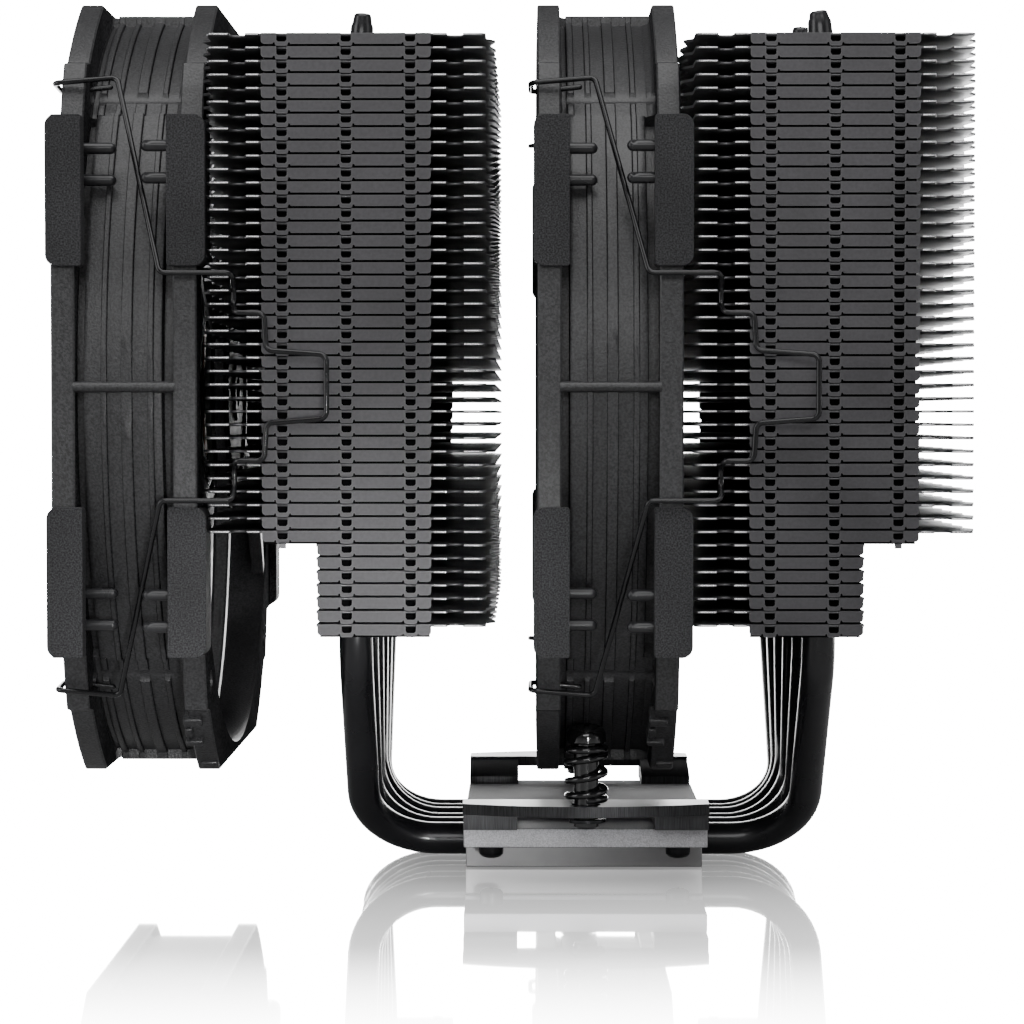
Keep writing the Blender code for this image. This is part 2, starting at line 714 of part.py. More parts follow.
def pad(name, parent, outlet, y_side, z_side):
    """A rubber pad hooked over a flange's edge: a C in plan, run along the flange's straight side."""
    low_x, high_x = OUTLET_PAD if outlet else INTAKE_PAD
    outline = [
        (low_x, PAD_FACE_Y),
        (low_x, PAD_SKIN_Y),
        (high_x, PAD_SKIN_Y),
        (high_x, PAD_INNER_Y),
        (FLANGE + GAP, PAD_INNER_Y),
        (FLANGE + GAP, FLANGE_HALF_Y + GAP),
        (-GAP, FLANGE_HALF_Y + GAP),
        (-GAP, PAD_FACE_Y),
    ]
    shape = [(FAN_THICK - x if outlet else x, y_side * y) for x, y in outline]
    bm = bmesh.new()
    prism(bm, shape, *sorted((z_side * PAD_LOW, z_side * PAD_HIGH)))
    return to_object(name, bm, "rubber", parent=parent)


def wire_clip(name, parent, side):
    """A spring-steel wire: hooked in two mounting holes, over the fan's side, into the fins' groove, to a grip.

    Its origin is on the line through both hooks, which it swings about.
    """
    groove_x = -FAN_TO_TOWER - GROOVE_U - 0.7
    over = PAD_SKIN_Y + WIRE_R + GAP - FAN_HOLE
    upper = [
        (8.0, 0.3, 53.4),
        (-1.1, 0.0, 52.5),
        (-1.2, 8.6, 53.2),
        (10.0, 9.6, 54.0),
        (18.9, over, 19.4),
        (groove_x, over, 19.4),
        (groove_x, 21.1, 17.0),
        (groove_x, 21.1, 14.0),
        (groove_x + 0.4, 23.9, 12.6),
        (groove_x + 5.4, 24.3, 12.6),
        (groove_x + 5.8, 24.4, 6.2),
        (groove_x + 16.2, 27.0, 5.4),
    ]
    points = [(x, side * y, z) for x, y, z in upper]
    points += [(x, y, -z) for x, y, z in reversed(points)]
    bm = bmesh.new()
    tube(bm, filleted(points, 1.6, 1), WIRE_R, 4)
    return to_object(name, bm, "black_steel", smooth=True, parent=parent, location=(0.0, side * FAN_HOLE, 0.0))


def fan(label, side):
    """Every piece of one fan, placed from a point on its axis at its intake face."""
    place = empty(f"{label}_fan_place", (side * TOWER_X + FAN_TO_TOWER, 0.0, FAN_Z))
    fan_frame(f"{label}_fan_frame", place)
    impeller(f"{label}_impeller", place)
    ring_part(f"{label}_rotor_magnet", place, 9.0, 19.2, 14.2, HUB_R - 2.8, 18, "black_steel")
    shaft(f"{label}_rotor_shaft", place)
    ring_part(f"{label}_bearing", place, 9.8, 22.0, SHAFT_R + 0.1, TUBE_IN_R - 0.15, 12, "copper")
    stator(f"{label}_stator", place)
    ring_part(f"{label}_circuit_board", place, 20.4, 21.4, TUBE_OUT_R + 0.5, 19.0, 16, "board")
    fan_cable(f"{label}_fan_cable", place)
    for face in ("intake", "outlet"):
        for y_side, y_name in ((-1, "near"), (1, "far")):
            for z_side, z_name in ((1, "upper"), (-1, "lower")):
                pad(f"{label}_{face}_pad_{y_name}_{z_name}", place, face == "outlet", y_side, z_side)
    wire_clip(f"{label}_clip_near", place, -1)
    wire_clip(f"{label}_clip_far", place, 1)


def main():
    clear_scene()
    cold_plate()
    pipe_cover_block()
    for i in range(PIPES):
        heat_pipe(i)
    for label, side in (("front", -1), ("rear", 1)):
        fin_pack(f"{label}_tower_fins", side, FINS_STEP, FULL_FINS, PLATES)
        fin_pack(f"{label}_tower_lower_fins", side, FINS_BOTTOM, SHORT_FINS, SHORT_PLATES, short=True)
    for label, side in (("near", -1), ("far", 1)):
        bracket(f"{label}_bracket", side)
        spring_screw(f"{label}_spring_screw", side)
        spring(f"{label}_spring", side)
        retaining_ring(f"{label}_retaining_ring", side)
        bracket_screw(f"{label}_bracket_screw_front", -1, side)
        bracket_screw(f"{label}_bracket_screw_rear", 1, side)
    fan("front", -1)
    fan("middle", 1)


main()
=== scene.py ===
"""Looks of the dual-tower CPU cooler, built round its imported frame.

Builders work in millimetres, and MM turns them into metres. "Near" is the -Y side, towards the camera, and
"far" the +Y side. A fan's own coordinates run from its intake face along X, with y and z from its axis. A
tower's run from its middle, with u along the air flow.
"""

import math

import bmesh
import bpy
from mathutils import Matrix, Vector

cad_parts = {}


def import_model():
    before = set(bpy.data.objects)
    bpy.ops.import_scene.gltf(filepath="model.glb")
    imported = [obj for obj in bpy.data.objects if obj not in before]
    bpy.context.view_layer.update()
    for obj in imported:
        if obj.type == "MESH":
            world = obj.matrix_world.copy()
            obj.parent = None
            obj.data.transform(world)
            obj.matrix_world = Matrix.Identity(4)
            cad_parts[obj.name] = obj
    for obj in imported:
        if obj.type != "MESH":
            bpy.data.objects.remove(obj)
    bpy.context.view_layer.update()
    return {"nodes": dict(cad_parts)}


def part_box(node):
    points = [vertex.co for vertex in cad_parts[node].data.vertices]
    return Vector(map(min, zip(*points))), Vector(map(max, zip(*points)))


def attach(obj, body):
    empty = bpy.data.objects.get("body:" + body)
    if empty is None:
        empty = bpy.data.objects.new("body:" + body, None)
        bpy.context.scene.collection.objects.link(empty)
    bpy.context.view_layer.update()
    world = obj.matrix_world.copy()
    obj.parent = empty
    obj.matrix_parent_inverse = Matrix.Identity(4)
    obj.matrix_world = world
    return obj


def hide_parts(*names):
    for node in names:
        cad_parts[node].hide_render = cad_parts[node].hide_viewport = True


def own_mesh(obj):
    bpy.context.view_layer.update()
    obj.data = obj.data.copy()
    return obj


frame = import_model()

MM = 0.001

# Fins. A groove holds the fan clips' wire, and a tab closes the gap to the next fin.
SHEET = 0.45
PITCH = 2.29
FULL_FINS, SHORT_FINS = 38, 7
TAB_HALF, TAB_GAP, TAB_RIM, TAB_CORNER = 14.45, 0.4, 0.2, 0.6
# How far behind a tab's face the thin near-black wall of painted shade sits, from its far side to its near
# side
PAINTED_SHADE_IN, PAINTED_SHADE_OUT = 2.8, 2.6
COLUMN_PITCH = 10.95
LOCK_WIDTH, LOCK_DEPTH, TONGUE_WIDTH = 1.75, 1.5, 2.3
STUB_HALF, STUB_LOW, STUB_HIGH = 0.6, -0.75, 0.3
GROOVE_OUT, GROOVE_IN, GROOVE_DEPTH = 20.1, 17.1, 3.2
CORNER_U, CORNER_Y, CORNER_INSET = 23.8, 64.5, 8.2
TEETH, TOOTH_DEPTH = 10, 1.2
PIPE_HOLE_R = 3.12
# Height on a fin and how far its end draws in there. The end faces of the second layer carry a painted
# highlight: a bright metal colour on the cut edges that stands in for their glints.
EDGE_LAYERS = ((-SHEET, 0.14), (-0.315, 0.0), (-0.125, 0.0), (0.0, 0.14))
PAINTED_GLINT_LAYER = 1

# Heat pipes
PIPES = 6
PIPE_R = 3.0
PIPE_BEND = 13.5
SHORT_TIP = 2.7
NEAR_TIP_DROP = 2.3
TIP_LEAN = (-0.5, 0.3, 0.25, -0.25, 0.3, 0.2)
# A crimped filling tip: height from its foot, and radius as a share of the pipe's
TIP_LENGTH = 7.9
TIP_PROFILE = (
    (0.0, 1.0), (0.35, 0.985), (0.8, 0.93), (1.3, 0.84), (2.2, 0.77), (4.2, 0.72),
    (5.6, 0.7), (6.4, 0.6), (7.2, 0.55), (7.6, 0.52), (7.8, 0.42), (TIP_LENGTH, 0.2),
)

# Base
BRIDGE_THICK, BRIDGE_BOW, BRIDGE_IN = 2.0, 4.6, 10.5
LEG_X = 12.6
SPRING_BORE_R, BRACKET_BORE_R = 2.7, 1.6
BORES_FROM, SPRING_BORE_TO = 8.0, 20.0
SPRING_HEAD_R, SPRING_SHAFT_R, SPRING_NECK_R = 3.65, 2.28, 1.75
SPRING_WIRE_R, SPRING_TURNS, SPRING_TRAVEL = 0.66, 4.5, 3.5
RING_R, RING_BORE_R = 3.6, 2.0

# Fans
FAN_THICK, FLANGE = 25.0, 4.1
FLANGE_R, FLANGE_HALF_Y, FLANGE_HALF_Z = 79.0, 74.0, 70.1
FLANGE_EDGE = 0.28
EAR_CORNERS = ((74.0, 46.5), (62.4, 47.0), (60.0, 53.0), (58.0, 57.0), (54.0, 57.6))
SIDE_R, ROUND_R, BARREL_HALF_Z = 73.3, 72.2, 69.6
FLAT_HALF_Y = 25.0
LEDGE_Z = 48.6
STEP_DEGREES = 0.6
# Place, half width and height of each rib round the barrel
RIBS = ((9.0, 0.45, 0.6), (12.9, 0.9, 0.7), (17.0, 0.45, 0.6))
DUCT_R, MOUTH_R = 68.0, 69.35
# The duct from outlet to intake, as x and radius
DUCT_PROFILE = (
    (25.0, 68.6), (24.2, 68.1), (20.0, DUCT_R), (5.0, DUCT_R), (4.6, 68.5), (3.4, 68.5), (3.0, 69.0),
    (1.8, 69.0), (1.4, MOUTH_R), (0.5, MOUTH_R), (0.0, MOUTH_R),
)
CROSSBAR_HALF = 0.95
FAN_HOLE, FAN_HOLE_R = 52.5, 2.15
STRUTS, STRUT_ANGLE, STRUT_BEND = 4, 236.0, 6.0
STRUT_IN, STRUT_OUT = 19.0, 69.2
# A strut's section, as shares of its half width and half thickness
STRUT_SECTION = ((-1, -0.75), (-0.8, -1), (0.8, -1), (1, -0.75), (1, 0.6), (0.6, 1), (-0.6, 1), (-1, 0.6))
# The hooks by the cable: angle round the fan, x from and to, half length along the rim, and outer radius
HOOKS = (
    (228.6, 20.0, 23.4, 1.0, 80.0),
    (231.3, 20.0, 21.4, 1.3, 79.7),
    (233.6, 19.8, 23.0, 0.7, 79.9),
    (240.6, 21.8, 24.9, 1.1, 79.5),
)
CABLE_R = 0.95
HUB_R, BLADES, BLADE_TIP_R, BLADE_FRONT = 21.5, 7, 66.8, 4.6
CHANNEL_PITCH = 5.2
PAD_IN, PAD_STEP_Y, PAD_GAP = 66.9, 71.5, 0.12
STUD_ZS, STUD_R = (35.8, 41.3), 1.0
INTAKE_STUD_Y, OUTLET_STUD_Y = 66.5, 72.0
INTAKE_STUD_X, OUTLET_STUD_X = 10.4, 15.3
WIRE_R, WIRE_BEND = 0.48, 1.3
GROOVE_X = 31.35

# The part of a noise texture's 0 to 1 that it mostly stays in
NOISE_RANGE = (0.35, 0.65)

# Studio
WHITE = 20.0
MIRROR_GAIN = 2.0
FILL = 0.16
FLOOR_SHADE = 0.5
LAMP_TARGET = (0.0, 0.0, 0.085)


# ---- meshes


def box_mm(node):
    """The two corners of a CAD node's box, in millimetres."""
    low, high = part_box(node)
    return low / MM, high / MM


def link(name, data):
    """Puts an object that holds data into the scene."""
    made = bpy.data.objects.new(name, data)
    bpy.context.scene.collection.objects.link(made)
    return made


def solid(name, bm):
    """Turns a bmesh in millimetres into an object in metres with its faces pointing out."""
    bmesh.ops.scale(bm, vec=(MM, MM, MM), verts=bm.verts)
    bmesh.ops.recalc_face_normals(bm, faces=bm.faces)
    return link(name, plain_mesh(name, bm))


def plain_mesh(name, bm):
    """Turns a bmesh into a mesh and frees it."""
    mesh = bpy.data.meshes.new(name)
    bm.to_mesh(mesh)
    bm.free()
    return mesh


def make(name, bm, body, replaces=(), materials=(), smooth=35.0, bevel=None, segments=2):
    """Makes a piece of a body, standing for CAD nodes."""
    piece = solid(name, bm)
    mesh = piece.data
    mesh.shade_smooth()
    mesh.set_sharp_from_angle(angle=math.radians(smooth))
    for made in materials:
        mesh.materials.append(made)
    if bevel:
        rounding = piece.modifiers.new("Rounded edges", "BEVEL")
        rounding.width = bevel * MM
        rounding.segments = segments
        rounding.limit_method = "ANGLE"
        rounding.angle_limit = math.radians(40)
        rounding.miter_outer = "MITER_ARC"
    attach(piece, body)
    if replaces:
        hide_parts(*replaces)
    return piece


def boolean(piece, bm, operation):
    """Joins a closed bmesh in millimetres to a piece, or cuts it, before any modifier that it already has."""
    tool = solid("tool", bm)
    modifier = piece.modifiers.new(operation.title(), "BOOLEAN")
    modifier.operation = operation
    modifier.object = tool
    piece.modifiers.move(len(piece.modifiers) - 1, 0)
    with bpy.context.temp_override(object=piece, active_object=piece):
        bpy.ops.object.modifier_apply(modifier=modifier.name)
    bpy.data.objects.remove(tool)
    piece.data.set_sharp_from_angle(angle=math.radians(35))
    return piece


def add_box(bm, low, high):
    size = [b - a for a, b in zip(low, high)]
    centre = [(a + b) / 2 for a, b in zip(low, high)]
    matrix = Matrix.Translation(centre) @ Matrix.Diagonal((*size, 1.0))
    return bmesh.ops.create_cube(bm, size=1.0, matrix=matrix)["verts"]


def skin(bm, sections, closed=False):
    """Skins a list of equal rings of points, capped at both ends or closed into a ring."""
    rows = [[bm.verts.new(p) for p in section] for section in sections]
    count = len(rows[0])
    for low, high in zip(rows, rows[1:] + ([rows[0]] if closed else [])):
        for i in range(count):
            j = (i + 1) % count
            bm.faces.new((low[i], low[j], high[j], high[i]))
    if not closed:
        bm.faces.new(rows[0][::-1])
        bm.faces.new(rows[-1])


def at(axis, point, height):
    """A point from its two coordinates across an axis and its height along it."""
    coordinates = list(point)
    coordinates.insert("XYZ".index(axis), height)
    return coordinates


def prism(bm, outline, low, high, axis="Z"):
    """Extrudes an outline, given in the other two axes in X, Y, Z order."""
    skin(bm, [[at(axis, p, height) for p in outline] for height in (low, high)])


def paint_faces(bm, axis, slot):
    """Gives the faces square to an axis (0, 1, 2 for X, Y, Z) another material slot."""
    for face in bm.faces:
        if abs(face.normal[axis]) > 0.9:
            face.material_index = slot


def circle(radius, sides, centre=(0.0, 0.0)):
    turn = 2 * math.pi / sides
    points = []
    for i in range(sides):
        points.append((centre[0] + radius * math.cos(i * turn), centre[1] + radius * math.sin(i * turn)))
    return points


def arc(radius, start, end, steps, centre=(0.0, 0.0)):
    """Points on an arc, angles in degrees, both ends included."""
    points = []
    for i in range(steps + 1):
        angle = math.radians(start + (end - start) * i / steps)
        points.append((centre[0] + radius * math.cos(angle), centre[1] + radius * math.sin(angle)))
    return points


def rounded_rectangle(low, high, radii, steps=5):
    """Corners in the order low-low, high-low, high-high, low-high, each with its own radius."""
    (x0, y0), (x1, y1) = low, high
    corners = ((x0, y0, 1, 1, 180), (x1, y0, -1, 1, 270), (x1, y1, -1, -1, 0), (x0, y1, 1, -1, 90))
    outline = []
    for (x, y, sx, sy, start), r in zip(corners, radii):
        outline += arc(r, start, start + 90, steps, (x + sx * r, y + sy * r))
    return outline


def lathe(bm, profile, sides, centre=(0.0, 0.0, 0.0), axis="X", closed=True):
    """Spins a profile of (along the axis, radius) corners: a ring, or a solid when it isn't closed."""
    rows = []
    for h, r in profile:
        ring = [at(axis, p, h) for p in circle(r, sides)]
        rows.append([tuple(a + b for a, b in zip(p, centre)) for p in ring])
    skin(bm, rows, closed=closed)


def symmetric(half, middle=0.0):
    """A run of points given from the middle, followed by its mirror image."""
    return [(middle + a, b) for a, b in half] + [(middle - a, b) for a, b in reversed(half)]


def spaced(start, end, steps):
    """Evenly spaced points from start to end."""
    return [start + (end - start) * (i / steps) for i in range(steps + 1)]


def plus(arm, half, centre):
    """The outline of a cross recess."""
    corners = [(arm, -half), (arm, half), (half, half), (half, arm), (-half, arm), (-half, half)]
    corners += [(-a, -b) for a, b in corners]
    return [(centre[0] + a, centre[1] + b) for a, b in corners]


def filleted(points, radius, steps):
    """A path through points with each inner corner rounded, where its legs allow it."""
    points = [Vector(p) for p in points]
    path = [points[0]]
    for before, corner, after in zip(points, points[1:], points[2:]):
        into, out = before - corner, after - corner
        half = into.angle(out) / 2
        reach = min(radius / math.tan(half), into.length * 0.48, out.length * 0.48)
        bend = reach * math.tan(half)
        centre = corner + (into.normalized() + out.normalized()).normalized() * (bend / math.sin(half))
        first = corner + into.normalized() * reach - centre
        last = corner + out.normalized() * reach - centre
        sweep = first.angle(last)
        for i in range(steps + 1):
            t = i / steps
            turned = first * math.sin((1 - t) * sweep) + last * math.sin(t * sweep)
            path.append(centre + turned / math.sin(sweep))
    return path + [points[-1]]


def tube(bm, path, radius, sides):
    """Sweeps a circle along a path. radius is one number or one for each point."""
    radii = radius if isinstance(radius, list) else [radius] * len(path)
    padded = [path[0]] + list(path) + [path[-1]]
    tangents = [(after - before).normalized() for before, after in zip(padded, padded[2:])]
    side = tangents[0].orthogonal().normalized()
    sections = []
    for point, tangent, r in zip(path, tangents, radii):
        side = (side - tangent * side.dot(tangent)).normalized()
        up = tangent.cross(side)
        sections.append([point + side * (r * c) + up * (r * s) for c, s in circle(1.0, sides)])
    skin(bm, sections)


def rounded_ends(path, radius, steps=3):
    """Adds the points and radii that round off both ends of a tube."""
    quarter = [math.pi / 2 * i / steps for i in range(steps)]
    sizes = [radius * max(0.15, math.sin(angle)) for angle in quarter]
    depths = [radius * (1 - math.cos(angle)) for angle in quarter]
    first, last = path[0], path[-1]
    inward = ((path[1] - first).normalized(), (path[-2] - last).normalized())
    head = [first + inward[0] * d for d in depths] + [first + inward[0] * radius]
    tail = [last + inward[1] * radius] + [last + inward[1] * d for d in reversed(depths)]
    middle = list(path[1:-1])
    return head + middle + tail, sizes + [radius] * (len(middle) + 2) + sizes[::-1]


# ---- materials


def node_material(name):
    """A new material with its node tree and its shader."""
    made = bpy.data.materials.new(name)
    made.use_nodes = True
    tree = made.node_tree
    shader = tree.nodes["Principled BSDF"]
    return made, tree, shader


def noise(tree, scale_per_mm, detail, stretch=(1.0, 1.0, 1.0)):
    """A noise texture in the piece's own coordinates, its scale in cells a millimetre."""
    where = tree.nodes.new("ShaderNodeTexCoord")
    mapping = tree.nodes.new("ShaderNodeMapping")
    mapping.inputs["Scale"].default_value = stretch
    texture = tree.nodes.new("ShaderNodeTexNoise")
    texture.inputs["Scale"].default_value = scale_per_mm / MM
    texture.inputs["Detail"].default_value = detail
    tree.links.new(where.outputs["Object"], mapping.inputs["Vector"])
    tree.links.new(mapping.outputs["Vector"], texture.inputs["Vector"])
    return texture.outputs["Fac"]


def mapped(tree, value, start, end, low, high, kind="LINEAR"):
    """Maps values from start to end onto low to high, and holds them outside."""
    node = tree.nodes.new("ShaderNodeMapRange")
    node.interpolation_type = kind
    node.inputs["From Min"].default_value = start
    node.inputs["From Max"].default_value = end
    node.inputs["To Min"].default_value = low
    node.inputs["To Max"].default_value = high
    tree.links.new(value, node.inputs["Value"])
    return node.outputs["Result"]


def combined(tree, operation, first, second):
    node = tree.nodes.new("ShaderNodeMath")
    node.operation = operation
    for socket, value in zip(node.inputs, (first, second)):
        if isinstance(value, float):
            socket.default_value = value
        else:
            tree.links.new(value, socket)
    return node.outputs["Value"]


def coordinate(tree, space):
    """The x, y and z of where a shader is asked, in one of the spaces of a texture coordinate."""
    where = tree.nodes.new("ShaderNodeTexCoord")
    split = tree.nodes.new("ShaderNodeSeparateXYZ")
    tree.links.new(where.outputs[space], split.inputs["Vector"])
    return split.outputs


def tint(tree, factor, dark, light):
    ramp = tree.nodes.new("ShaderNodeValToRGB")
    for element, place, colour in zip(ramp.color_ramp.elements, NOISE_RANGE, (dark, light)):
        element.position = place
        element.color = (*colour, 1.0)
    tree.links.new(factor, ramp.inputs["Fac"])
    return ramp.outputs["Color"]


def bump(tree, shader, height, distance_mm):
    node = tree.nodes.new("ShaderNodeBump")
    node.inputs["Distance"].default_value = distance_mm * MM
    tree.links.new(height, node.inputs["Height"])
    tree.links.new(node.outputs["Normal"], shader.inputs["Normal"])


def surface(
    name, colour, roughness, metallic=0.0, spread=0.15, patch=0.06, grain=1.0, depth=0.0,
    stretch=(1.0, 1.0, 1.0), speckle=0.0, coat=0.0, specular=0.5, rough_spread=0.12,
):
    """A surface whose colour and roughness drift in patches, with a finer grain in its bump and colour.

    grain is in cells a millimetre, depth is its height in millimetres, and speckle how much the grain tints.
    """
    made, tree, shader = node_material(name)
    dark = tuple(c * (1 - spread) for c in colour)
    light = tuple(c * (1 + spread) for c in colour)
    drift = noise(tree, patch, 4.0)
    base = tint(tree, drift, dark, light)
    smoothest, roughest = roughness * (1 - rough_spread), roughness * (1 + rough_spread)
    tree.links.new(mapped(tree, drift, *NOISE_RANGE, smoothest, roughest), shader.inputs["Roughness"])
    fine = noise(tree, grain, 2.0, stretch)
    if speckle:
        mix = tree.nodes.new("ShaderNodeMix")
        mix.data_type = "RGBA"
        mix.blend_type = "MULTIPLY"
        mix.inputs["Factor"].default_value = 1.0
        tree.links.new(base, mix.inputs["A"])
        tree.links.new(tint(tree, fine, (1 - speckle,) * 3, (1 + speckle,) * 3), mix.inputs["B"])
        base = mix.outputs["Result"]
    if depth:
        bump(tree, shader, fine, depth)
    tree.links.new(base, shader.inputs["Base Color"])
    shader.inputs["Metallic"].default_value = metallic
    shader.inputs["Specular IOR Level"].default_value = specular
    shader.inputs["Coat Weight"].default_value = coat
    shader.inputs["Coat Roughness"].default_value = 0.12
    return made


FIN_COAT = surface("fin_coat", (0.066, 0.064, 0.069), 0.42, 0.2, grain=1.6, depth=0.01, speckle=0.08)
# Painted highlight: a lighter colour on the flat rim round each tab's face
FIN_RIM_PAINTED_HIGHLIGHT = surface("fin_rim_painted_highlight", (0.085, 0.084, 0.088), 0.4, 0.3, grain=2.0, depth=0.008)
# Painted highlight: near-white metal on the fins' cut ends, standing in for glints on the black coating
FIN_EDGE_PAINTED_GLINT = surface("fin_edge_painted_glint", (0.85, 0.85, 0.86), 0.25, 0.9, spread=0.08, grain=3.0, depth=0.004)
FIN_SHEET = surface("fin_sheet", (0.17, 0.17, 0.176), 0.42, 0.85, depth=0.006)
# Painted shade: near-black for the thin wall behind the fin tabs, so the gaps between tabs stay dark
FIN_PAINTED_SHADE = surface("fin_painted_shade", (0.004, 0.004, 0.0045), 0.7, depth=0.01, specular=0.05)
PIPE_COAT = surface(
    "pipe_coat", (0.013, 0.013, 0.015), 0.27, 0.2, grain=0.5, depth=0.02, rough_spread=0.2, coat=0.2
)
NICKEL = surface(
    "nickel_plate", (0.42, 0.415, 0.42), 0.5, 0.8, grain=4.0, depth=0.004, stretch=(0.05, 1.0, 1.0)
)
SATIN = surface(
    "satin_aluminium", (0.52, 0.515, 0.535), 0.5, 0.35, spread=0.1,
    grain=5.0, depth=0.012, speckle=0.2, specular=0.05,
)
# Painted shade: a darker copy of the satin aluminium for the cover's top and bottom faces
SATIN_PAINTED_SHADE = surface(
    "satin_aluminium_painted_shade", (0.1, 0.099, 0.104), 0.6, 0.2, spread=0.3, patch=0.03,
    grain=5.0, speckle=0.3, specular=0.03,
)
STEEL = surface(
    "bracket_steel", (0.035, 0.035, 0.037), 0.33, 0.7,
    grain=6.0, depth=0.01, stretch=(1.0, 1.0, 0.04), speckle=0.35,
)
SPRING_STEEL = surface("spring_steel", (0.012, 0.012, 0.013), 0.1, 0.5, grain=2.0, depth=0.004, coat=1.0)
WIRE_STEEL = surface("wire_steel", (0.012, 0.012, 0.013), 0.25, 0.4, grain=3.0, depth=0.004, coat=0.3)
BRIGHT = surface("bright_steel", (0.45, 0.45, 0.46), 0.3, 1.0, grain=5.0, depth=0.004)
DARK_SCREW = surface("screw_steel", (0.03, 0.03, 0.032), 0.22, 0.8, grain=4.0, depth=0.004)
PLASTIC = surface(
    "fan_plastic", (0.025, 0.025, 0.0265), 0.42, spread=0.25, patch=0.04,
    grain=2.4, depth=0.07, speckle=0.5, specular=0.6,
)
MATTE_PLASTIC = surface(
    "fan_plastic_faces", (0.03, 0.03, 0.0315), 0.7, spread=0.25,
    grain=2.4, depth=0.07, speckle=0.5, specular=0.0,
)
BLADE_PLASTIC = surface("blade_plastic", (0.022, 0.022, 0.0235), 0.3, grain=2.0, depth=0.01, speckle=0.1)
RUBBER = surface(
    "pad_rubber", (0.04, 0.04, 0.042), 0.7, grain=3.4, depth=0.08, speckle=0.45, specular=0.15
)
STUD_RUBBER = surface("stud_rubber", (0.022, 0.022, 0.024), 0.3, grain=1.5, depth=0.01)
COPPER = surface(
    "winding_copper", (0.16, 0.07, 0.04), 0.35, 1.0, grain=5.0, depth=0.03, stretch=(0.1, 1.0, 1.0)
)
BOARD = surface("board_dark", (0.012, 0.02, 0.014), 0.45, depth=0.01, coat=0.4)
CABLE = surface("cable_sleeve", (0.02, 0.02, 0.021), 0.5, grain=2.5, depth=0.05)


# ---- fin towers


def end_profile(low_u, high_u):
    """The near end of a fin from low_u to high_u, as (u, how far it sits inside the tower's end plane)."""
    left = [
        (-CORNER_U, CORNER_INSET), (-CORNER_U, 0.8), (-CORNER_U + 0.6, 0.06), (-22.4, 0.0),
        (-21.4, 0.0), (-GROOVE_OUT, 0.06), (-GROOVE_OUT + 0.2, 0.5),
        (-GROOVE_OUT + 0.2, GROOVE_DEPTH - 0.6), (-GROOVE_OUT + 0.7, GROOVE_DEPTH),
        (-GROOVE_IN - 0.6, GROOVE_DEPTH), (-GROOVE_IN - 0.1, GROOVE_DEPTH - 0.6),
        (-GROOVE_IN - 0.1, 0.5), (-GROOVE_IN + 0.1, 0.06), (-16.4, 0.0), (-15.4, 0.0),
        (-TAB_HALF - 0.45, 0.06), (-TAB_HALF - 0.35, 0.55), (-TAB_HALF - 0.15, 0.55),
        (-TAB_HALF, SHEET),
    ]
    right = [(-u, inset) for u, inset in reversed(left)]
    if low_u > -TAB_HALF:
        left = [(low_u, SHEET)]
    if high_u < TAB_HALF:
        right = [(high_u, SHEET)]
    return left + right


def long_edge(u):
    """The fan-side edge of a fin from near to far, in shallow teeth."""
    out = math.copysign(1.0, u)
    points = []
    for i in range(2 * TEETH + 1):
        y = CORNER_Y * (i / TEETH - 1)
        points.append((u - out * (TOOTH_DEPTH if i % 2 else 0.0), y))
    return points


def fin_outline(low_u, high_u, half_y, half_depth):
    """A fin from above. The short fins end at a straight edge where they are cut back."""
    ends = end_profile(low_u, high_u)
    near = [(u, -half_y + inset) for u, inset in ends]
    far = [(u, half_y - inset) for u, inset in reversed(ends)]
    right = long_edge(half_depth) if high_u >= half_depth else []
    left = long_edge(-half_depth) if low_u <= -half_depth else []
    return near + right + far + left[::-1]


def fin_template(low_u, high_u, half_y, half_depth, pipe_ys):
    """One sheet with its pipe holes, from -SHEET to 0, as a mesh in millimetres."""
    bm = bmesh.new()
    loops = [fin_outline(low_u, high_u, half_y, half_depth)]
    loops += [circle(PIPE_HOLE_R, 16, (0.0, y)) for y in pipe_ys]
    layers = []
    for height, inset in EDGE_LAYERS:
        edges, kept = [], []
        for loop in loops:
            verts = []
            for x, y in loop:
                drawn_in = math.copysign(inset, y) if abs(y) > half_y - GROOVE_DEPTH - 0.1 else 0.0
                verts.append(bm.verts.new((x, y - drawn_in, height)))
            kept.append(verts)
            edges += [bm.edges.new((verts[i], verts[(i + 1) % len(verts)])) for i in range(len(verts))]
        if height in (EDGE_LAYERS[0][0], EDGE_LAYERS[-1][0]):
            bmesh.ops.triangle_fill(bm, use_beauty=True, edges=edges)
        layers.append(kept)
    for layer, (below, above) in enumerate(zip(layers, layers[1:])):
        for lower, upper in zip(below, above):
            for i in range(len(lower)):
                j = (i + 1) % len(lower)
                face = bm.faces.new((lower[i], lower[j], upper[j], upper[i]))
                # The second layer's end faces take the bright painted highlight colour; the rest take the
                # sheet's colour
                at_end = all(abs(v.co.y) > half_y - 0.07 and abs(v.co.x) > TAB_HALF for v in face.verts)
                face.material_index = 1 if layer == PAINTED_GLINT_LAYER and at_end else 0
    return plain_mesh("fin_template", bm)


def tab_outline(low_u, high_u, columns):
    """A folded tab seen square on, with a notch above and a tongue below at each column."""
    bottom = -PITCH + TAB_GAP
    points = arc(TAB_CORNER, 180, 270, 4, (low_u + TAB_CORNER, bottom + TAB_CORNER))
    half = TONGUE_WIDTH / 2
    tongue = [
        (-half - 0.35, bottom), (-half - 0.25, bottom + 0.28), (-half, bottom + 0.28),
        (-half + 0.1, -PITCH + 0.22), (-half + 0.35, -PITCH + 0.07),
    ]
    for u in columns:
        points += symmetric(tongue, u)
    points += arc(TAB_CORNER, 270, 360, 4, (high_u - TAB_CORNER, bottom + TAB_CORNER))
    points.append((high_u, 0.0))
    half = LOCK_WIDTH / 2
    for u in reversed(columns):
        points += symmetric([(half, 0.0), (half, -LOCK_DEPTH + 0.3), (half - 0.3, -LOCK_DEPTH)], u)
    points.append((low_u, 0.0))
    return points


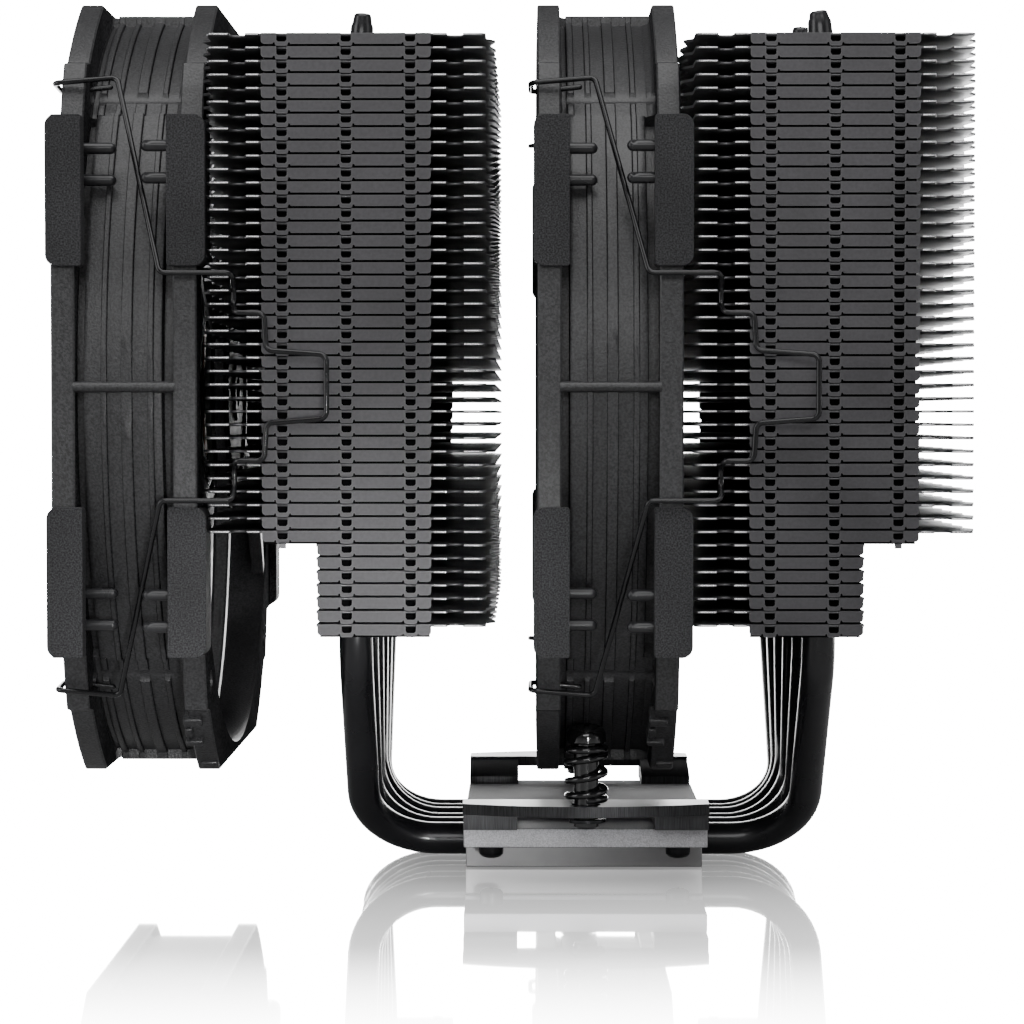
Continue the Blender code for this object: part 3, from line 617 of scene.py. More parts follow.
def tab_template(low_u, high_u, half_y, columns):
    """One tab at the near end: its outer face has a rim in a lighter colour, a painted highlight. Behind it
    is a thin near-black wall of painted shade that keeps the gaps between tabs dark.
    """
    bm = bmesh.new()
    outline = tab_outline(low_u, high_u, columns)
    prism(bm, outline, -half_y, -half_y + SHEET, "Y")
    bmesh.ops.recalc_face_normals(bm, faces=bm.faces)
    front = [f for f in bm.faces if f.normal.y < -0.9 and len(f.verts) > 8]
    rim = bmesh.ops.inset_region(bm, faces=front, thickness=TAB_RIM, depth=0.0, use_even_offset=False)
    for face in bm.faces:
        face.material_index = 2
    # The flat rim round the face takes the lighter painted highlight colour
    for face in rim["faces"]:
        face.material_index = 3
    # A thin near-black wall of painted shade behind the tab, for the dark gaps between tabs
    low_corner = (low_u + 0.3, -half_y + PAINTED_SHADE_OUT, -PITCH - 0.1)
    behind = add_box(bm, low_corner, (high_u - 0.3, -half_y + PAINTED_SHADE_IN, 0.0))
    for face in {f for v in behind for f in v.link_faces}:
        face.material_index = 4
    return plain_mesh("tab_template", bm)


def place_mesh(bm, mesh, matrix):
    """Adds a copy of a mesh, moved by a matrix."""
    start = len(bm.verts)
    bm.from_mesh(mesh)
    bm.verts.ensure_lookup_table()
    bmesh.ops.transform(bm, matrix=matrix, verts=bm.verts[start:])


def fin_stack(label, side, part, fins, top, pipe_ys):
    """The fins of one tower that stand for one CAD pack."""
    node = f"{label}_{part}"
    low, high = box_mm(node)
    full_low, full_high = box_mm(f"{label}_tower_fins")
    centre = (full_low.x + full_high.x) / 2
    half_depth = (full_high.x - full_low.x) / 2
    half_y = full_high.y
    low_u, high_u = low.x - centre, high.x - centre
    full_depth = high.x - low.x > 2 * half_depth - 1
    tab_low = -TAB_HALF if low_u < -TAB_HALF else low_u + 0.2
    tab_high = TAB_HALF if high_u > TAB_HALF else high_u - 0.2
    columns = [u for u in (-COLUMN_PITCH, 0.0, COLUMN_PITCH) if tab_low + 2 < u < tab_high - 2]
    sheet = fin_template(low_u, high_u, half_y, half_depth, pipe_ys)
    tab = tab_template(tab_low, tab_high, half_y, columns)
    bm = bmesh.new()
    mirror = Matrix.Scale(-1, 4, (0, 1, 0))
    for i in range(fins):
        place = Matrix.Translation((centre, 0.0, top - i * PITCH))
        place_mesh(bm, sheet, place)
        place_mesh(bm, tab, place)
        place_mesh(bm, tab, place @ mirror)
    if full_depth:
        stub_x = centre + side * COLUMN_PITCH
        stub_z = top - fins * PITCH
        for end in (-1, 1):
            y0, y1 = sorted((end * half_y, end * (half_y - SHEET)))
            low_corner = (stub_x - STUB_HALF, y0, stub_z + STUB_LOW)
            add_box(bm, low_corner, (stub_x + STUB_HALF, y1, stub_z + STUB_HIGH))
    # Slots: sheet, cut ends with a painted highlight, tab coat, tab rim with a painted highlight, near-black
    # painted shade wall
    looks = (FIN_SHEET, FIN_EDGE_PAINTED_GLINT, FIN_COAT, FIN_RIM_PAINTED_HIGHLIGHT, FIN_PAINTED_SHADE)
    make(f"{node}_sheets", bm, "heatsink", (node,), looks, smooth=50)


def pipe_rows():
    """Each pipe's y in the towers, from the frame."""
    ys = []
    for i in range(PIPES):
        low, high = box_mm(f"heat_pipe_{i + 1}")
        ys.append(high.y - PIPE_R if i >= PIPES / 2 else low.y + PIPE_R)
    return ys


# ---- heat pipes and base


def tall_tip(x, y, top, foot, lean):
    """Points and radii of a crimped filling tip, from foot up to top."""
    points, radii = [], []
    for rise, share in TIP_PROFILE:
        t = rise / TIP_LENGTH
        points.append(Vector((x + lean * t * t, y, foot + (top - foot) * t)))
        radii.append(PIPE_R * share)
    return points, radii


def short_tip(x, y, top, foot):
    """Points and radii of a rounded end."""
    points, radii = [], []
    for i in range(7):
        angle = math.pi / 2 * i / 6
        points.append(Vector((x, y, foot + (top - foot) * math.sin(angle))))
        radii.append(PIPE_R * max(0.12, math.cos(angle)))
    return points, radii


def heat_pipe(index, ys, tops):
    """A U-shaped pipe, with a tall tip on one leg and a short one on the other."""
    node = f"heat_pipe_{index + 1}"
    low, high = box_mm(node)
    side_x = high.x - PIPE_R
    y_tower = ys[index]
    base_z = low.z + PIPE_R
    y_base = high.y - PIPE_R if index < PIPES / 2 else low.y + PIPE_R
    fins_bottom = box_mm("front_tower_lower_fins")[0].z
    tall_side = 1 if index % 2 == 0 else -1
    corners = []
    for side in (-1, 1):
        leg = [
            Vector((side * side_x, y_tower, tops - 1.0)),
            Vector((side * side_x, y_tower, fins_bottom - 6.0)),
            Vector((side * side_x, y_base, base_z)),
        ]
        corners += leg if side < 0 else leg[::-1]
    path = filleted(corners, PIPE_BEND, 12)
    radii = [PIPE_R] * len(path)
    foot = tops + 0.4
    for side in (-1, 1):
        if side == tall_side:
            top = high.z - (NEAR_TIP_DROP if index == 0 else 0.0)
            points, sizes = tall_tip(side * side_x, y_tower, top, foot, TIP_LEAN[index])
        else:
            points, sizes = short_tip(side * side_x, y_tower, tops + SHORT_TIP, foot)
        if side < 0:
            path, radii = points[::-1] + path, sizes[::-1] + radii
        else:
            path, radii = path + points, radii + sizes
    bm = bmesh.new()
    tube(bm, path, radii, 28)
    make(f"{node}_tube", bm, "heatsink", (node,), (PIPE_COAT,), smooth=60)


def pipe_collars(ys, side_x, tops):
    """The drawn collars round the pipes on the top fins."""
    profile = [(-0.1, 3.15), (0.0, 3.9), (0.12, 3.8), (0.3, 3.35), (0.75, 3.25), (0.75, 3.12)]
    bm = bmesh.new()
    for side in (-1, 1):
        for y in ys:
            lathe(bm, profile, 28, (side * side_x, y, tops), "Z")
    make("top_fin_pipe_collars", bm, "heatsink", (), (FIN_COAT,), smooth=40)


def cover_and_plate():
    """The pipe cover, raised over the pipes and with a ledge each side, and the contact plate below it."""
    low, high = box_mm("pipe_cover_block")
    plate_low, plate_high = box_mm("cold_plate")
    ledge_low, ledge_high = low.z + 0.85, box_mm("near_bracket")[0].z - 0.3
    half_y = plate_high.y
    pitch = box_mm("heat_pipe_6")[0].y - box_mm("heat_pipe_5")[0].y
    ys = [(i - (PIPES - 1) / 2) * pitch for i in range(PIPES)]
    pipe_z = box_mm("heat_pipe_1")[0].z + PIPE_R
    groove = PIPE_R + 0.15
    rise = math.degrees(math.asin((low.z - pipe_z) / groove))
    outline = [(-half_y - 0.3, low.z)]
    for y in ys:
        outline += arc(groove, 180 - rise, rise, 14, (y, pipe_z))
    outline += symmetric([
        (half_y + 0.3, low.z), (half_y + 0.3, ledge_low), (high.y, ledge_low), (high.y, ledge_high),
        (half_y, ledge_high), (half_y - 0.6, high.z),
    ])[:-1]
    bm = bmesh.new()
    prism(bm, outline, low.x, high.x, "X")
    bmesh.ops.recalc_face_normals(bm, faces=bm.faces)
    # The top and bottom faces take the darker painted shade copy of the satin aluminium
    paint_faces(bm, 2, 1)
    node = "pipe_cover_block"
    make("pipe_cover", bm, "heatsink", (node,), (SATIN, SATIN_PAINTED_SHADE), smooth=30, bevel=0.18)

    dip = math.degrees(math.asin((pipe_z - plate_high.z) / groove))
    outline = [(-half_y, plate_low.z), (half_y, plate_low.z), (half_y, plate_high.z)]
    for y in reversed(ys):
        outline += arc(groove, -dip, -180 + dip, 14, (y, pipe_z))
    outline.append((-half_y, plate_high.z))
    bm = bmesh.new()
    prism(bm, outline, plate_low.x, plate_high.x, "X")
    make("contact_plate", bm, "heatsink", ("cold_plate",), (NICKEL,), smooth=30, bevel=0.2)


def bracket(name, side):
    """The black bridge: a plate with a bowed edge on two legs."""
    low, high = box_mm(name)
    leg_top = high.z - BRIDGE_THICK
    half_x = high.x
    mid_y = high.y if side > 0 else -low.y
    inner = low.y if side > 0 else -high.y
    end_y = mid_y - BRIDGE_BOW
    plate_in = inner + BRIDGE_IN
    outline = [(-half_x, side * plate_in), (half_x, side * plate_in)]
    steps = 24
    for i in range(steps + 1):
        x = half_x * (1 - 2 * i / steps)
        outline.append((x, side * (end_y + BRIDGE_BOW * (1 - (x / half_x) ** 2))))
    bm = bmesh.new()
    prism(bm, outline, leg_top, high.z)
    piece = make(f"{name}_bridge", bm, "heatsink", (name,), (STEEL,), smooth=30, bevel=0.25)
    profile = [
        (inner, low.z), (end_y - 0.3, low.z), (end_y - 0.3, leg_top + 0.5), (plate_in + 0.2, leg_top + 0.5),
        (plate_in + 0.2, high.z - 0.4), (inner + 0.3, low.z + 2.3), (inner, low.z + 2.0),
    ]
    for end in (-1, 1):
        leg = bmesh.new()
        xs = sorted((end * LEG_X, end * (half_x - 0.1)))
        prism(leg, [(side * y, z) for y, z in profile], *xs, "X")
        boolean(piece, leg, "UNION")
    return piece


def drill_bracket(piece, side):
    """A hole for the spring screw and a blind one for each bracket screw."""
    bm = bmesh.new()
    prism(bm, circle(SPRING_BORE_R, 28, (0.0, -side * screw_y("near"))), BORES_FROM, SPRING_BORE_TO)
    low, high = box_mm("near_bracket_screw_rear")
    for end in (-1, 1):
        centre = (end * (low.x + high.x) / 2, -side * (low.y + high.y) / 2)
        prism(bm, circle(BRACKET_BORE_R, 20, centre), BORES_FROM, high.z + 0.2)
    boolean(piece, bm, "DIFFERENCE")


def pan_head(name):
    """A dark pan-head screw with a cross recess, its head downwards."""
    low, high = box_mm(name)
    x, y = (low.x + high.x) / 2, (low.y + high.y) / 2
    head = (high.x - low.x) / 2 / math.cos(math.pi / 8)
    step = low.z + 2.9
    profile = [
        (low.z, 0.3), (low.z, head * 0.45), (low.z + 0.25, head * 0.78), (low.z + 0.7, head * 0.97),
        (low.z + 1.2, head), (step, head), (step, 1.2), (high.z, 1.2), (high.z, 0.3),
    ]
    bm = bmesh.new()
    lathe(bm, profile, 28, (x, y, 0.0), "Z", closed=False)
    piece = make(f"{name}_body", bm, "heatsink", (name,), (DARK_SCREW,), smooth=40)
    cross = bmesh.new()
    prism(cross, plus(head * 0.5, 0.28, (x, y)), low.z - 1, low.z + 0.8)
    boolean(piece, cross, "DIFFERENCE")


def screw_y(label):
    low, high = box_mm(f"{label}_spring_screw")
    return (low.y + high.y) / 2


def spring_screw(label):
    """The shouldered screw, with a domed head and a groove for its retaining ring."""
    node = f"{label}_spring_screw"
    low, high = box_mm(node)
    y = screw_y(label)
    head_low = box_mm(f"{label}_spring")[1].z + 0.3
    ring_low, ring_high = box_mm(f"{label}_retaining_ring")
    shoulder = head_low + 1.3
    profile = [
        (low.z, 1.25), (low.z, SPRING_SHAFT_R - 0.3), (low.z + 0.3, SPRING_SHAFT_R),
        (ring_low.z - 0.1, SPRING_SHAFT_R), (ring_low.z - 0.1, SPRING_NECK_R),
        (ring_high.z + 0.1, SPRING_NECK_R), (ring_high.z + 0.1, SPRING_SHAFT_R),
        (head_low, SPRING_SHAFT_R), (head_low, SPRING_HEAD_R - 0.25), (head_low + 0.25, SPRING_HEAD_R),
        (shoulder, SPRING_HEAD_R),
    ]
    for i in range(1, 8):
        angle = math.pi / 2 * i / 8
        height = shoulder + (high.z - shoulder) * math.sin(angle)
        profile.append((height, SPRING_HEAD_R * math.cos(angle) ** 0.7))
    profile += [(high.z, 0.9), (high.z - 1.0, 0.9), (high.z - 1.0, 0.2)]
    bm = bmesh.new()
    lathe(bm, profile, 40, (0.0, y, 0.0), "Z", closed=False)
    piece = make(f"{node}_body", bm, f"{label}_screw", (node,), (SPRING_STEEL,), smooth=40)
    cross = bmesh.new()
    prism(cross, plus(2.1, 0.5, (0.0, y)), high.z - 1.6, high.z + 1)
    boolean(piece, cross, "DIFFERENCE")


def coil_spring(label):
    """The spring under the screw's head, with closed end turns."""
    node = f"{label}_spring"
    low, high = box_mm(node)
    y = screw_y(label)
    bottom, top = low.z + 0.05, high.z - 0.05
    radius = (high.x - low.x) / 2 - SPRING_WIRE_R
    path = []
    count = int(SPRING_TURNS * 36)
    for i in range(count + 1):
        t = i / count
        opened = min(1.0, max(0.0, (t - 0.06) / 0.84))
        rise = 0.05 * t + 0.95 * opened * opened * (3 - 2 * opened)
        angle = 2 * math.pi * SPRING_TURNS * t - math.pi / 2
        z = bottom + SPRING_WIRE_R + (top - bottom - 2 * SPRING_WIRE_R) * rise
        path.append(Vector((radius * math.cos(angle), y + radius * math.sin(angle), z)))
    bm = bmesh.new()
    tube(bm, path, SPRING_WIRE_R, 14)
    coil = make(
        f"{node}_coil", bm, f"{label}_screw_slider", (node,), (SPRING_STEEL,), smooth=60
    )
    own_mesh(coil)


def retaining_ring(label):
    node = f"{label}_retaining_ring"
    low, high = box_mm(node)
    centre = (0.0, screw_y(label))
    outline = arc(RING_R, -150, 150, 28, centre) + arc(RING_BORE_R, 150, -150, 28, centre)
    bm = bmesh.new()
    prism(bm, outline, low.z, high.z)
    body = f"{label}_screw_slider"
    make(f"{label}_ring", bm, body, (node,), (DARK_SCREW,), smooth=30, bevel=0.1)


# ---- fans


def outline_radius(points, angle):
    """The distance from the fan's axis to a quarter outline, along an angle folded into the first quarter."""
    c, s = abs(math.cos(angle)), abs(math.sin(angle))
    for (y0, z0), (y1, z1) in zip(points, points[1:]):
        dy, dz = y1 - y0, z1 - z0
        slope = c * dz - s * dy
        if abs(slope) < 1e-9:
            continue
        t = (s * y0 - c * z0) / slope
        if -1e-6 <= t <= 1 + 1e-6:
            return c * (y0 + t * dy) + s * (z0 + t * dz)
    return points[-1][1]


def flange_quarter():
    """A quarter of the flange's outline, as (y, z) from the side's middle up to the top's."""
    start = math.degrees(math.atan2(EAR_CORNERS[-1][1], EAR_CORNERS[-1][0]))
    end = math.degrees(math.asin(FLANGE_HALF_Z / FLANGE_R))
    points = [(FLANGE_HALF_Y, 0.0)] + list(EAR_CORNERS)
    points += arc(FLANGE_R, start + 0.4, end, 10)
    return points + [(0.0, FLANGE_HALF_Z)]


def barrel_radius(angle):
    """The barrel round the duct: flat top and bottom, and prouder on each side between the ledges."""
    rise = max(abs(math.sin(angle)), 1e-6)
    folded = math.asin(min(1.0, rise))
    step = math.radians(STEP_DEGREES)
    past_ledge = min(1.0, max(0.0, (folded - math.asin(LEDGE_Z / SIDE_R) + step) / step))
    on_flat = min(1.0, max(0.0, (folded - math.atan2(BARREL_HALF_Z, FLAT_HALF_Y) + step) / step))
    radius = SIDE_R + (ROUND_R - SIDE_R) * past_ledge
    flat = BARREL_HALF_Z / rise
    return min(radius, flat) * (1 - on_flat) + flat * on_flat


def frame_angles():
    """Angles with every corner of the outlines and, between them, steps of about two degrees."""
    corners = {math.degrees(math.atan2(z, y)) for y, z in flange_quarter()}
    ledge = math.degrees(math.asin(LEDGE_Z / SIDE_R))
    flat = math.degrees(math.atan2(BARREL_HALF_Z, FLAT_HALF_Y))
    corners |= {ledge - STEP_DEGREES, ledge, flat - STEP_DEGREES, flat, 0.0, 90.0}
    corners = sorted(corners)
    first = []
    for low, high in zip(corners, corners[1:]):
        steps = max(1, round((high - low) / 2.0))
        first += [low + (high - low) * i / steps for i in range(steps)]
    first.append(90.0)
    angles = []
    for quarter in range(4):
        folded = first if quarter % 2 == 0 else [90 - a for a in reversed(first)]
        angles += [math.radians(quarter * 90 + a) for a in folded[:-1]]
    return angles


def rib_profile():
    """The ribs round the barrel, as (x, height)."""
    points = []
    for x, half, height in RIBS:
        points += symmetric([(-half - 0.1, 0.0), (-half, height - 0.1), (-half + 0.12, height)], x)
    return points


def barrel_profiles():
    """(x, height) between the flanges, for the sides with deep grooves and for the rest with fillets."""
    inner, outer = FLANGE, FAN_THICK - FLANGE
    side = [(inner, -2.6), (inner + 1.3, -2.6), (inner + 1.5, -0.1), (inner + 1.7, 0.0)] + rib_profile()
    side += [(outer - 2.2, 0.0), (outer - 2.0, -0.1), (outer - 1.8, -2.6), (outer, -2.6)]
    curved = [(inner, 0.3), (inner + 0.3, -0.2), (inner + 1.1, -0.4), (inner + 1.25, 0.5), (inner + 1.4, 0.6)]
    curved += [(inner + 2.2, 0.6), (inner + 2.35, 0.5), (inner + 2.5, 0.0)] + rib_profile()
    curved += [(outer - 1.5, 0.0), (outer - 1.3, 0.15), (outer - 0.6, 0.3), (outer - 0.2, 0.6), (outer, 1.0)]
    return side, curved


def level(profile, x):
    """The height of a profile at x."""
    for (x0, h0), (x1, h1) in zip(profile, profile[1:]):
        if x0 <= x <= x1:
            return h0 + (h1 - h0) * (x - x0) / max(x1 - x0, 1e-9)
    return profile[-1][1]


def fan_frame(label, place):
    """The moulded frame: two flanges with ears, the ribbed barrel and the duct."""
    quarter = flange_quarter()
    angles = frame_angles()
    outer = [outline_radius(quarter, angle) for angle in angles]
    drawn_in = [radius - FLANGE_EDGE for radius in outer]
    side, curved = barrel_profiles()
    side_end = math.asin(LEDGE_Z / SIDE_R) - math.radians(STEP_DEGREES / 2)

    def ring(x, radii):
        return [Vector((x, r * math.cos(a), r * math.sin(a))) + place for a, r in zip(angles, radii)]

    def barrel(x):
        radii = []
        for angle, limit in zip(angles, drawn_in):
            rise = abs(math.sin(angle))
            profile = side if math.asin(min(1.0, rise)) < side_end else curved
            top = min(limit - 0.02, BARREL_HALF_Z / max(rise, 1e-6))
            radii.append(min(barrel_radius(angle) + level(profile, x), top))
        return ring(x, radii)

    def flange(low_x, high_x):
        rings = [ring(low_x, drawn_in), ring(low_x + FLANGE_EDGE, outer)]
        return rings + [ring(high_x - FLANGE_EDGE, outer), ring(high_x, drawn_in)]

    sections = flange(0.0, FLANGE)
    sections += [barrel(x) for x in sorted({round(x, 3) for x, _ in side + curved})]
    sections += flange(FAN_THICK - FLANGE, FAN_THICK)
    sections += [ring(x, [radius] * len(angles)) for x, radius in DUCT_PROFILE]
    bm = bmesh.new()
    skin(bm, sections, closed=True)
    bmesh.ops.recalc_face_normals(bm, faces=bm.faces)
    paint_faces(bm, 0, 1)
    node = f"{label}_fan_frame"
    looks = (PLASTIC, MATTE_PLASTIC)
    piece = make(f"{node}_moulding", bm, f"{label}_fan", (node,), looks, smooth=20)
    holes = bmesh.new()
    for y in (-1, 1):
        for z in (-1, 1):
            centre = (place.y + y * FAN_HOLE, place.z + z * FAN_HOLE)
            prism(holes, circle(FAN_HOLE_R, 24, centre), place.x - 1, place.x + FAN_THICK + 1, "X")
    boolean(piece, holes, "DIFFERENCE")


def fan_spider(label, place):
    """The motor plate with its raised rings, four struts to the duct, and the bearing tube."""
    bm = bmesh.new()
    back = FAN_THICK
    profile = [
        (9.5, 3.2), (9.5, 4.5), (back - 2.6, 4.5), (back - 2.6, 20.6), (back - 2.2, 21.0),
        (back - 0.9, 21.0), (back - 0.5, 20.4), (back - 0.5, 18.8), (back - 0.1, 18.5),
        (back - 0.1, 17.3), (back - 0.6, 17.0), (back - 0.6, 6.0), (back - 0.1, 5.6),
        (back - 0.1, 3.2),
    ]
    lathe(bm, profile, 64, place, "X")
    piece = make(f"{label}_fan_spider", bm, f"{label}_fan", (), (PLASTIC,), smooth=30)
    for k in range(STRUTS):
        turn = math.radians(STRUT_ANGLE + 360 / STRUTS * k)
        strut = bmesh.new()
        sections = []
        for i in range(9):
            t = i / 8
            radius = STRUT_IN + (STRUT_OUT - STRUT_IN) * t
            bend = turn + math.radians(STRUT_BEND) * math.sin(math.pi * t)
            out = Vector((0.0, math.cos(bend), math.sin(bend)))
            across = Vector((0.0, -out.z, out.y))
            half = 2.1 - 0.7 * t
            half_thick = 1.6 - 0.3 * t
            centre = place + out * radius + Vector((back - 0.25 - half_thick, 0.0, 0.0))
            along_x = Vector((-half_thick, 0.0, 0.0))
            sections.append([centre + across * (half * a) + along_x * b for a, b in STRUT_SECTION])
        skin(strut, sections)
        boolean(piece, strut, "UNION")


def fan_cable(label, place):
    """The sleeved lead beside the lower near strut, and the hooks that hold it."""
    node = f"{label}_fan_cable"
    low, high = box_mm(node)
    start = Vector((place.x + FAN_THICK - 1.5, high.y - 0.9, high.z - 0.9))
    end = Vector((start.x, low.y + 0.9, low.z + 0.9))
    path, radii = rounded_ends(spaced(start, end, 12), CABLE_R)
    bm = bmesh.new()
    tube(bm, path, radii, 16)
    make(f"{node}_sleeve", bm, f"{label}_fan", (node,), (CABLE,), smooth=60)
    bm = bmesh.new()
    for degrees, x0, x1, length, out in HOOKS:
        turn = math.radians(degrees)
        radial = Vector((0.0, math.cos(turn), math.sin(turn)))
        around = Vector((0.0, -radial.z, radial.y))
        corners = []
        for r, t in ((FLANGE_R - 2.5, -length), (out, -length), (out, length), (FLANGE_R - 2.5, length)):
            point = place + radial * r + around * t
            corners.append((point.y, point.z))
        prism(bm, corners, place.x + x0, place.x + x1, "X")
    make(f"{label}_cable_hooks", bm, f"{label}_fan", (), (PLASTIC,), bevel=0.3, smooth=40)


def crossbar(label, place):
    """The horizontal rib across each side of the barrel at mid height."""
    bm = bmesh.new()
    for side in (-1, 1):
        outline = []
        for a, b in arc(CROSSBAR_HALF, -90, 90, 8):
            outline.append((place.y + side * (SIDE_R + 0.1 + a * 1.1), place.z + b))
        outline += [(place.y + side * (SIDE_R - 3.5), place.z + b) for b in (CROSSBAR_HALF, -CROSSBAR_HALF)]
        prism(bm, outline, place.x + FLANGE - 0.3, place.x + FAN_THICK - FLANGE + 0.3, "X")
    make(f"{label}_frame_crossbars", bm, f"{label}_fan", (), (PLASTIC,), smooth=40)


def blade(bm, place, turn):
    """A blade rooted in the hub, swept along its span and ribbed by fine channels."""
    root = HUB_R - 1.2
    spans, chords = 60, 14
    sections = []
    for i in range(spans + 1):
        t = i / spans
        radius = root + (BLADE_TIP_R - root) * t
        lead = math.radians(turn + 16 * t * t)
        chord = math.radians(44 - 3 * t)
        channel = 0.3 * max(0.0, math.cos(2 * math.pi * radius / CHANNEL_PITCH)) ** 3
        front, rear = [], []
        for j in range(chords + 1):
            share = j / chords
            angle = lead + chord * share
            x = BLADE_FRONT + (14.0 - 1.4 * t) * share + 1.6 * math.sin(math.pi * share)
            half = 0.28 + (0.5 + channel) * math.sin(math.pi * share) ** 0.7
            y, z = radius * math.cos(angle), radius * math.sin(angle)
            front.append(Vector((x - half, y, z)) + place)
            rear.append(Vector((x + half, y, z)) + place)
        sections.append(front + rear[::-1])
    skin(bm, sections)


def impeller(label, place):
    """The hub, a cup with a rounded rim over the motor, and its blades."""
    node = f"{label}_impeller"
    bm = bmesh.new()
    profile = [(2.7, 0.3), (2.62, 8.0), (2.62, 15.5), (2.75, 17.5)]
    for h, r in arc(1.0, 180, 90, 5):
        profile.append((4.6 + 1.85 * h, 19.6 + 1.9 * r))
    profile += [
        (19.3, HUB_R), (19.6, HUB_R - 0.3), (19.6, HUB_R - 2.1), (5.2, HUB_R - 2.1),
        (5.2, 2.0), (4.6, 1.6), (4.6, 0.3),
    ]
    lathe(bm, profile, 72, place, "X", closed=False)
    looks = (BLADE_PLASTIC,)
    piece = make(f"{node}_moulding", bm, f"{label}_rotor", (node,), looks, smooth=35)
    blades = bmesh.new()
    for k in range(BLADES):
        blade(blades, place, 360 * k / BLADES)
    boolean(piece, blades, "UNION")


def pad(label, place, face, y_name, z_name):
    """A rubber corner pad over the flange's edge, with its two pull-through studs."""
    node = f"{label}_{face}_pad_{y_name}_{z_name}"
    low, high = box_mm(node)
    y_side = -1 if y_name == "near" else 1
    z_side = 1 if z_name == "upper" else -1
    skin_y = high.y if y_side > 0 else -low.y
    inward = 1 if face == "intake" else -1
    back_x = high.x if inward > 0 else low.x
    radii = (1.9, 0.5, 0.5, 1.9) if inward > 0 else (0.5, 1.9, 1.9, 0.5)
    outline = rounded_rectangle((low.x, low.z), (high.x, high.z), radii)
    bm = bmesh.new()
    prism(bm, outline, *sorted((y_side * PAD_IN, y_side * skin_y)), "Y")
    piece = make(
        f"{node}_rubber", bm, f"{label}_fan", (node,), (RUBBER,), smooth=40, bevel=0.42, segments=3
    )
    flange_x = place.x if inward > 0 else place.x + FAN_THICK
    flange_slot = (flange_x - inward * PAD_GAP, flange_x + inward * (FLANGE + PAD_GAP))
    step = (flange_x + inward * 2.0, back_x + inward * 2.0)
    for xs, skin_depth in ((flange_slot, FLANGE_HALF_Y + PAD_GAP), (step, PAD_STEP_Y)):
        hollow = bmesh.new()
        ys = sorted((y_side * 60.0, y_side * skin_depth))
        add_box(hollow, (min(xs), ys[0], low.z - 1), (max(xs), ys[1], high.z + 1))
        boolean(piece, hollow, "DIFFERENCE")

    stud_y = y_side * (INTAKE_STUD_Y if inward > 0 else OUTLET_STUD_Y)
    start_x = flange_x + inward * (FLANGE - 0.4)
    end_x = place.x + (INTAKE_STUD_X if inward > 0 else OUTLET_STUD_X)
    bm = bmesh.new()
    for height in STUD_ZS:
        z = place.z + z_side * height
        line = spaced(Vector((start_x, stud_y, z)), Vector((end_x, stud_y, z)), 6)
        tube(bm, *rounded_ends(line, STUD_R, 4), 16)
    make(f"{node}_studs", bm, f"{label}_fan", (), (STUD_RUBBER,), smooth=60)


def wire_clip(label, place, side):
    """The spring wire: hooked in two holes, over the fan's side, into the fins' groove, and out to a grip."""
    name = "near" if side < 0 else "far"
    node = f"{label}_clip_{name}"
    upper = [
        (8.0, 52.8, 53.4), (-1.1, FAN_HOLE, 52.5), (-1.2, 61.1, 53.2), (10.0, 62.1, 54.0),
        (18.9, 76.15, 19.4), (GROOVE_X, 76.15, 19.4), (GROOVE_X, 73.6, 17.0), (GROOVE_X, 73.6, 14.0),
        (GROOVE_X + 0.4, 76.4, 12.6), (GROOVE_X + 5.4, 76.8, 12.6), (GROOVE_X + 5.8, 76.9, 6.2),
        (GROOVE_X + 16.2, 79.5, 5.4),
    ]
    points = [(x, side * y, z) for x, y, z in upper]
    points += [(x, y, -z) for x, y, z in reversed(points)]
    points = [Vector(p) + place for p in points]
    path, radii = rounded_ends(filleted(points, WIRE_BEND, 7), WIRE_R)
    bm = bmesh.new()
    tube(bm, path, radii, 14)
    make(f"{node}_wire", bm, f"{label}_{name}_clip", (node,), (WIRE_STEEL,), smooth=60)


def fan(label):
    """One fan's pieces, placed from the middle of its frame's intake face."""
    low, high = box_mm(f"{label}_fan_frame")
    place = Vector((low.x, 0.0, (low.z + high.z) / 2))
    fan_frame(label, place)
    fan_spider(label, place)
    fan_cable(label, place)
    crossbar(label, place)
    impeller(label, place)
    for face in ("intake", "outlet"):
        for y_name in ("near", "far"):
            for z_name in ("upper", "lower"):
                pad(label, place, face, y_name, z_name)
    for side in (-1, 1):
        wire_clip(label, place, side)


def finish_inner_nodes():
    """Materials for the motor pieces, whose CAD shapes are kept."""
    finishes = {
        "rotor_magnet": DARK_SCREW,
        "rotor_shaft": BRIGHT,
        "bearing": COPPER,
        "stator": COPPER,
        "circuit_board": BOARD,
    }
    for label in ("front", "middle"):
        for part, finish in finishes.items():
            node = frame["nodes"][f"{label}_{part}"]
            node.data.materials.clear()
            node.data.materials.append(finish)


# ---- stage


def emission(tree, strength):
    node = tree.nodes.new("ShaderNodeEmission")
    if isinstance(strength, float):
        node.inputs["Strength"].default_value = strength
    else:
        tree.links.new(strength, node.inputs["Strength"])
    return node.outputs["Emission"]


def mixed(tree, factor, first, second):
    node = tree.nodes.new("ShaderNodeMixShader")
    for socket, output in zip(node.inputs, (factor, first, second)):
        tree.links.new(output, socket)
    return node.outputs["Shader"]


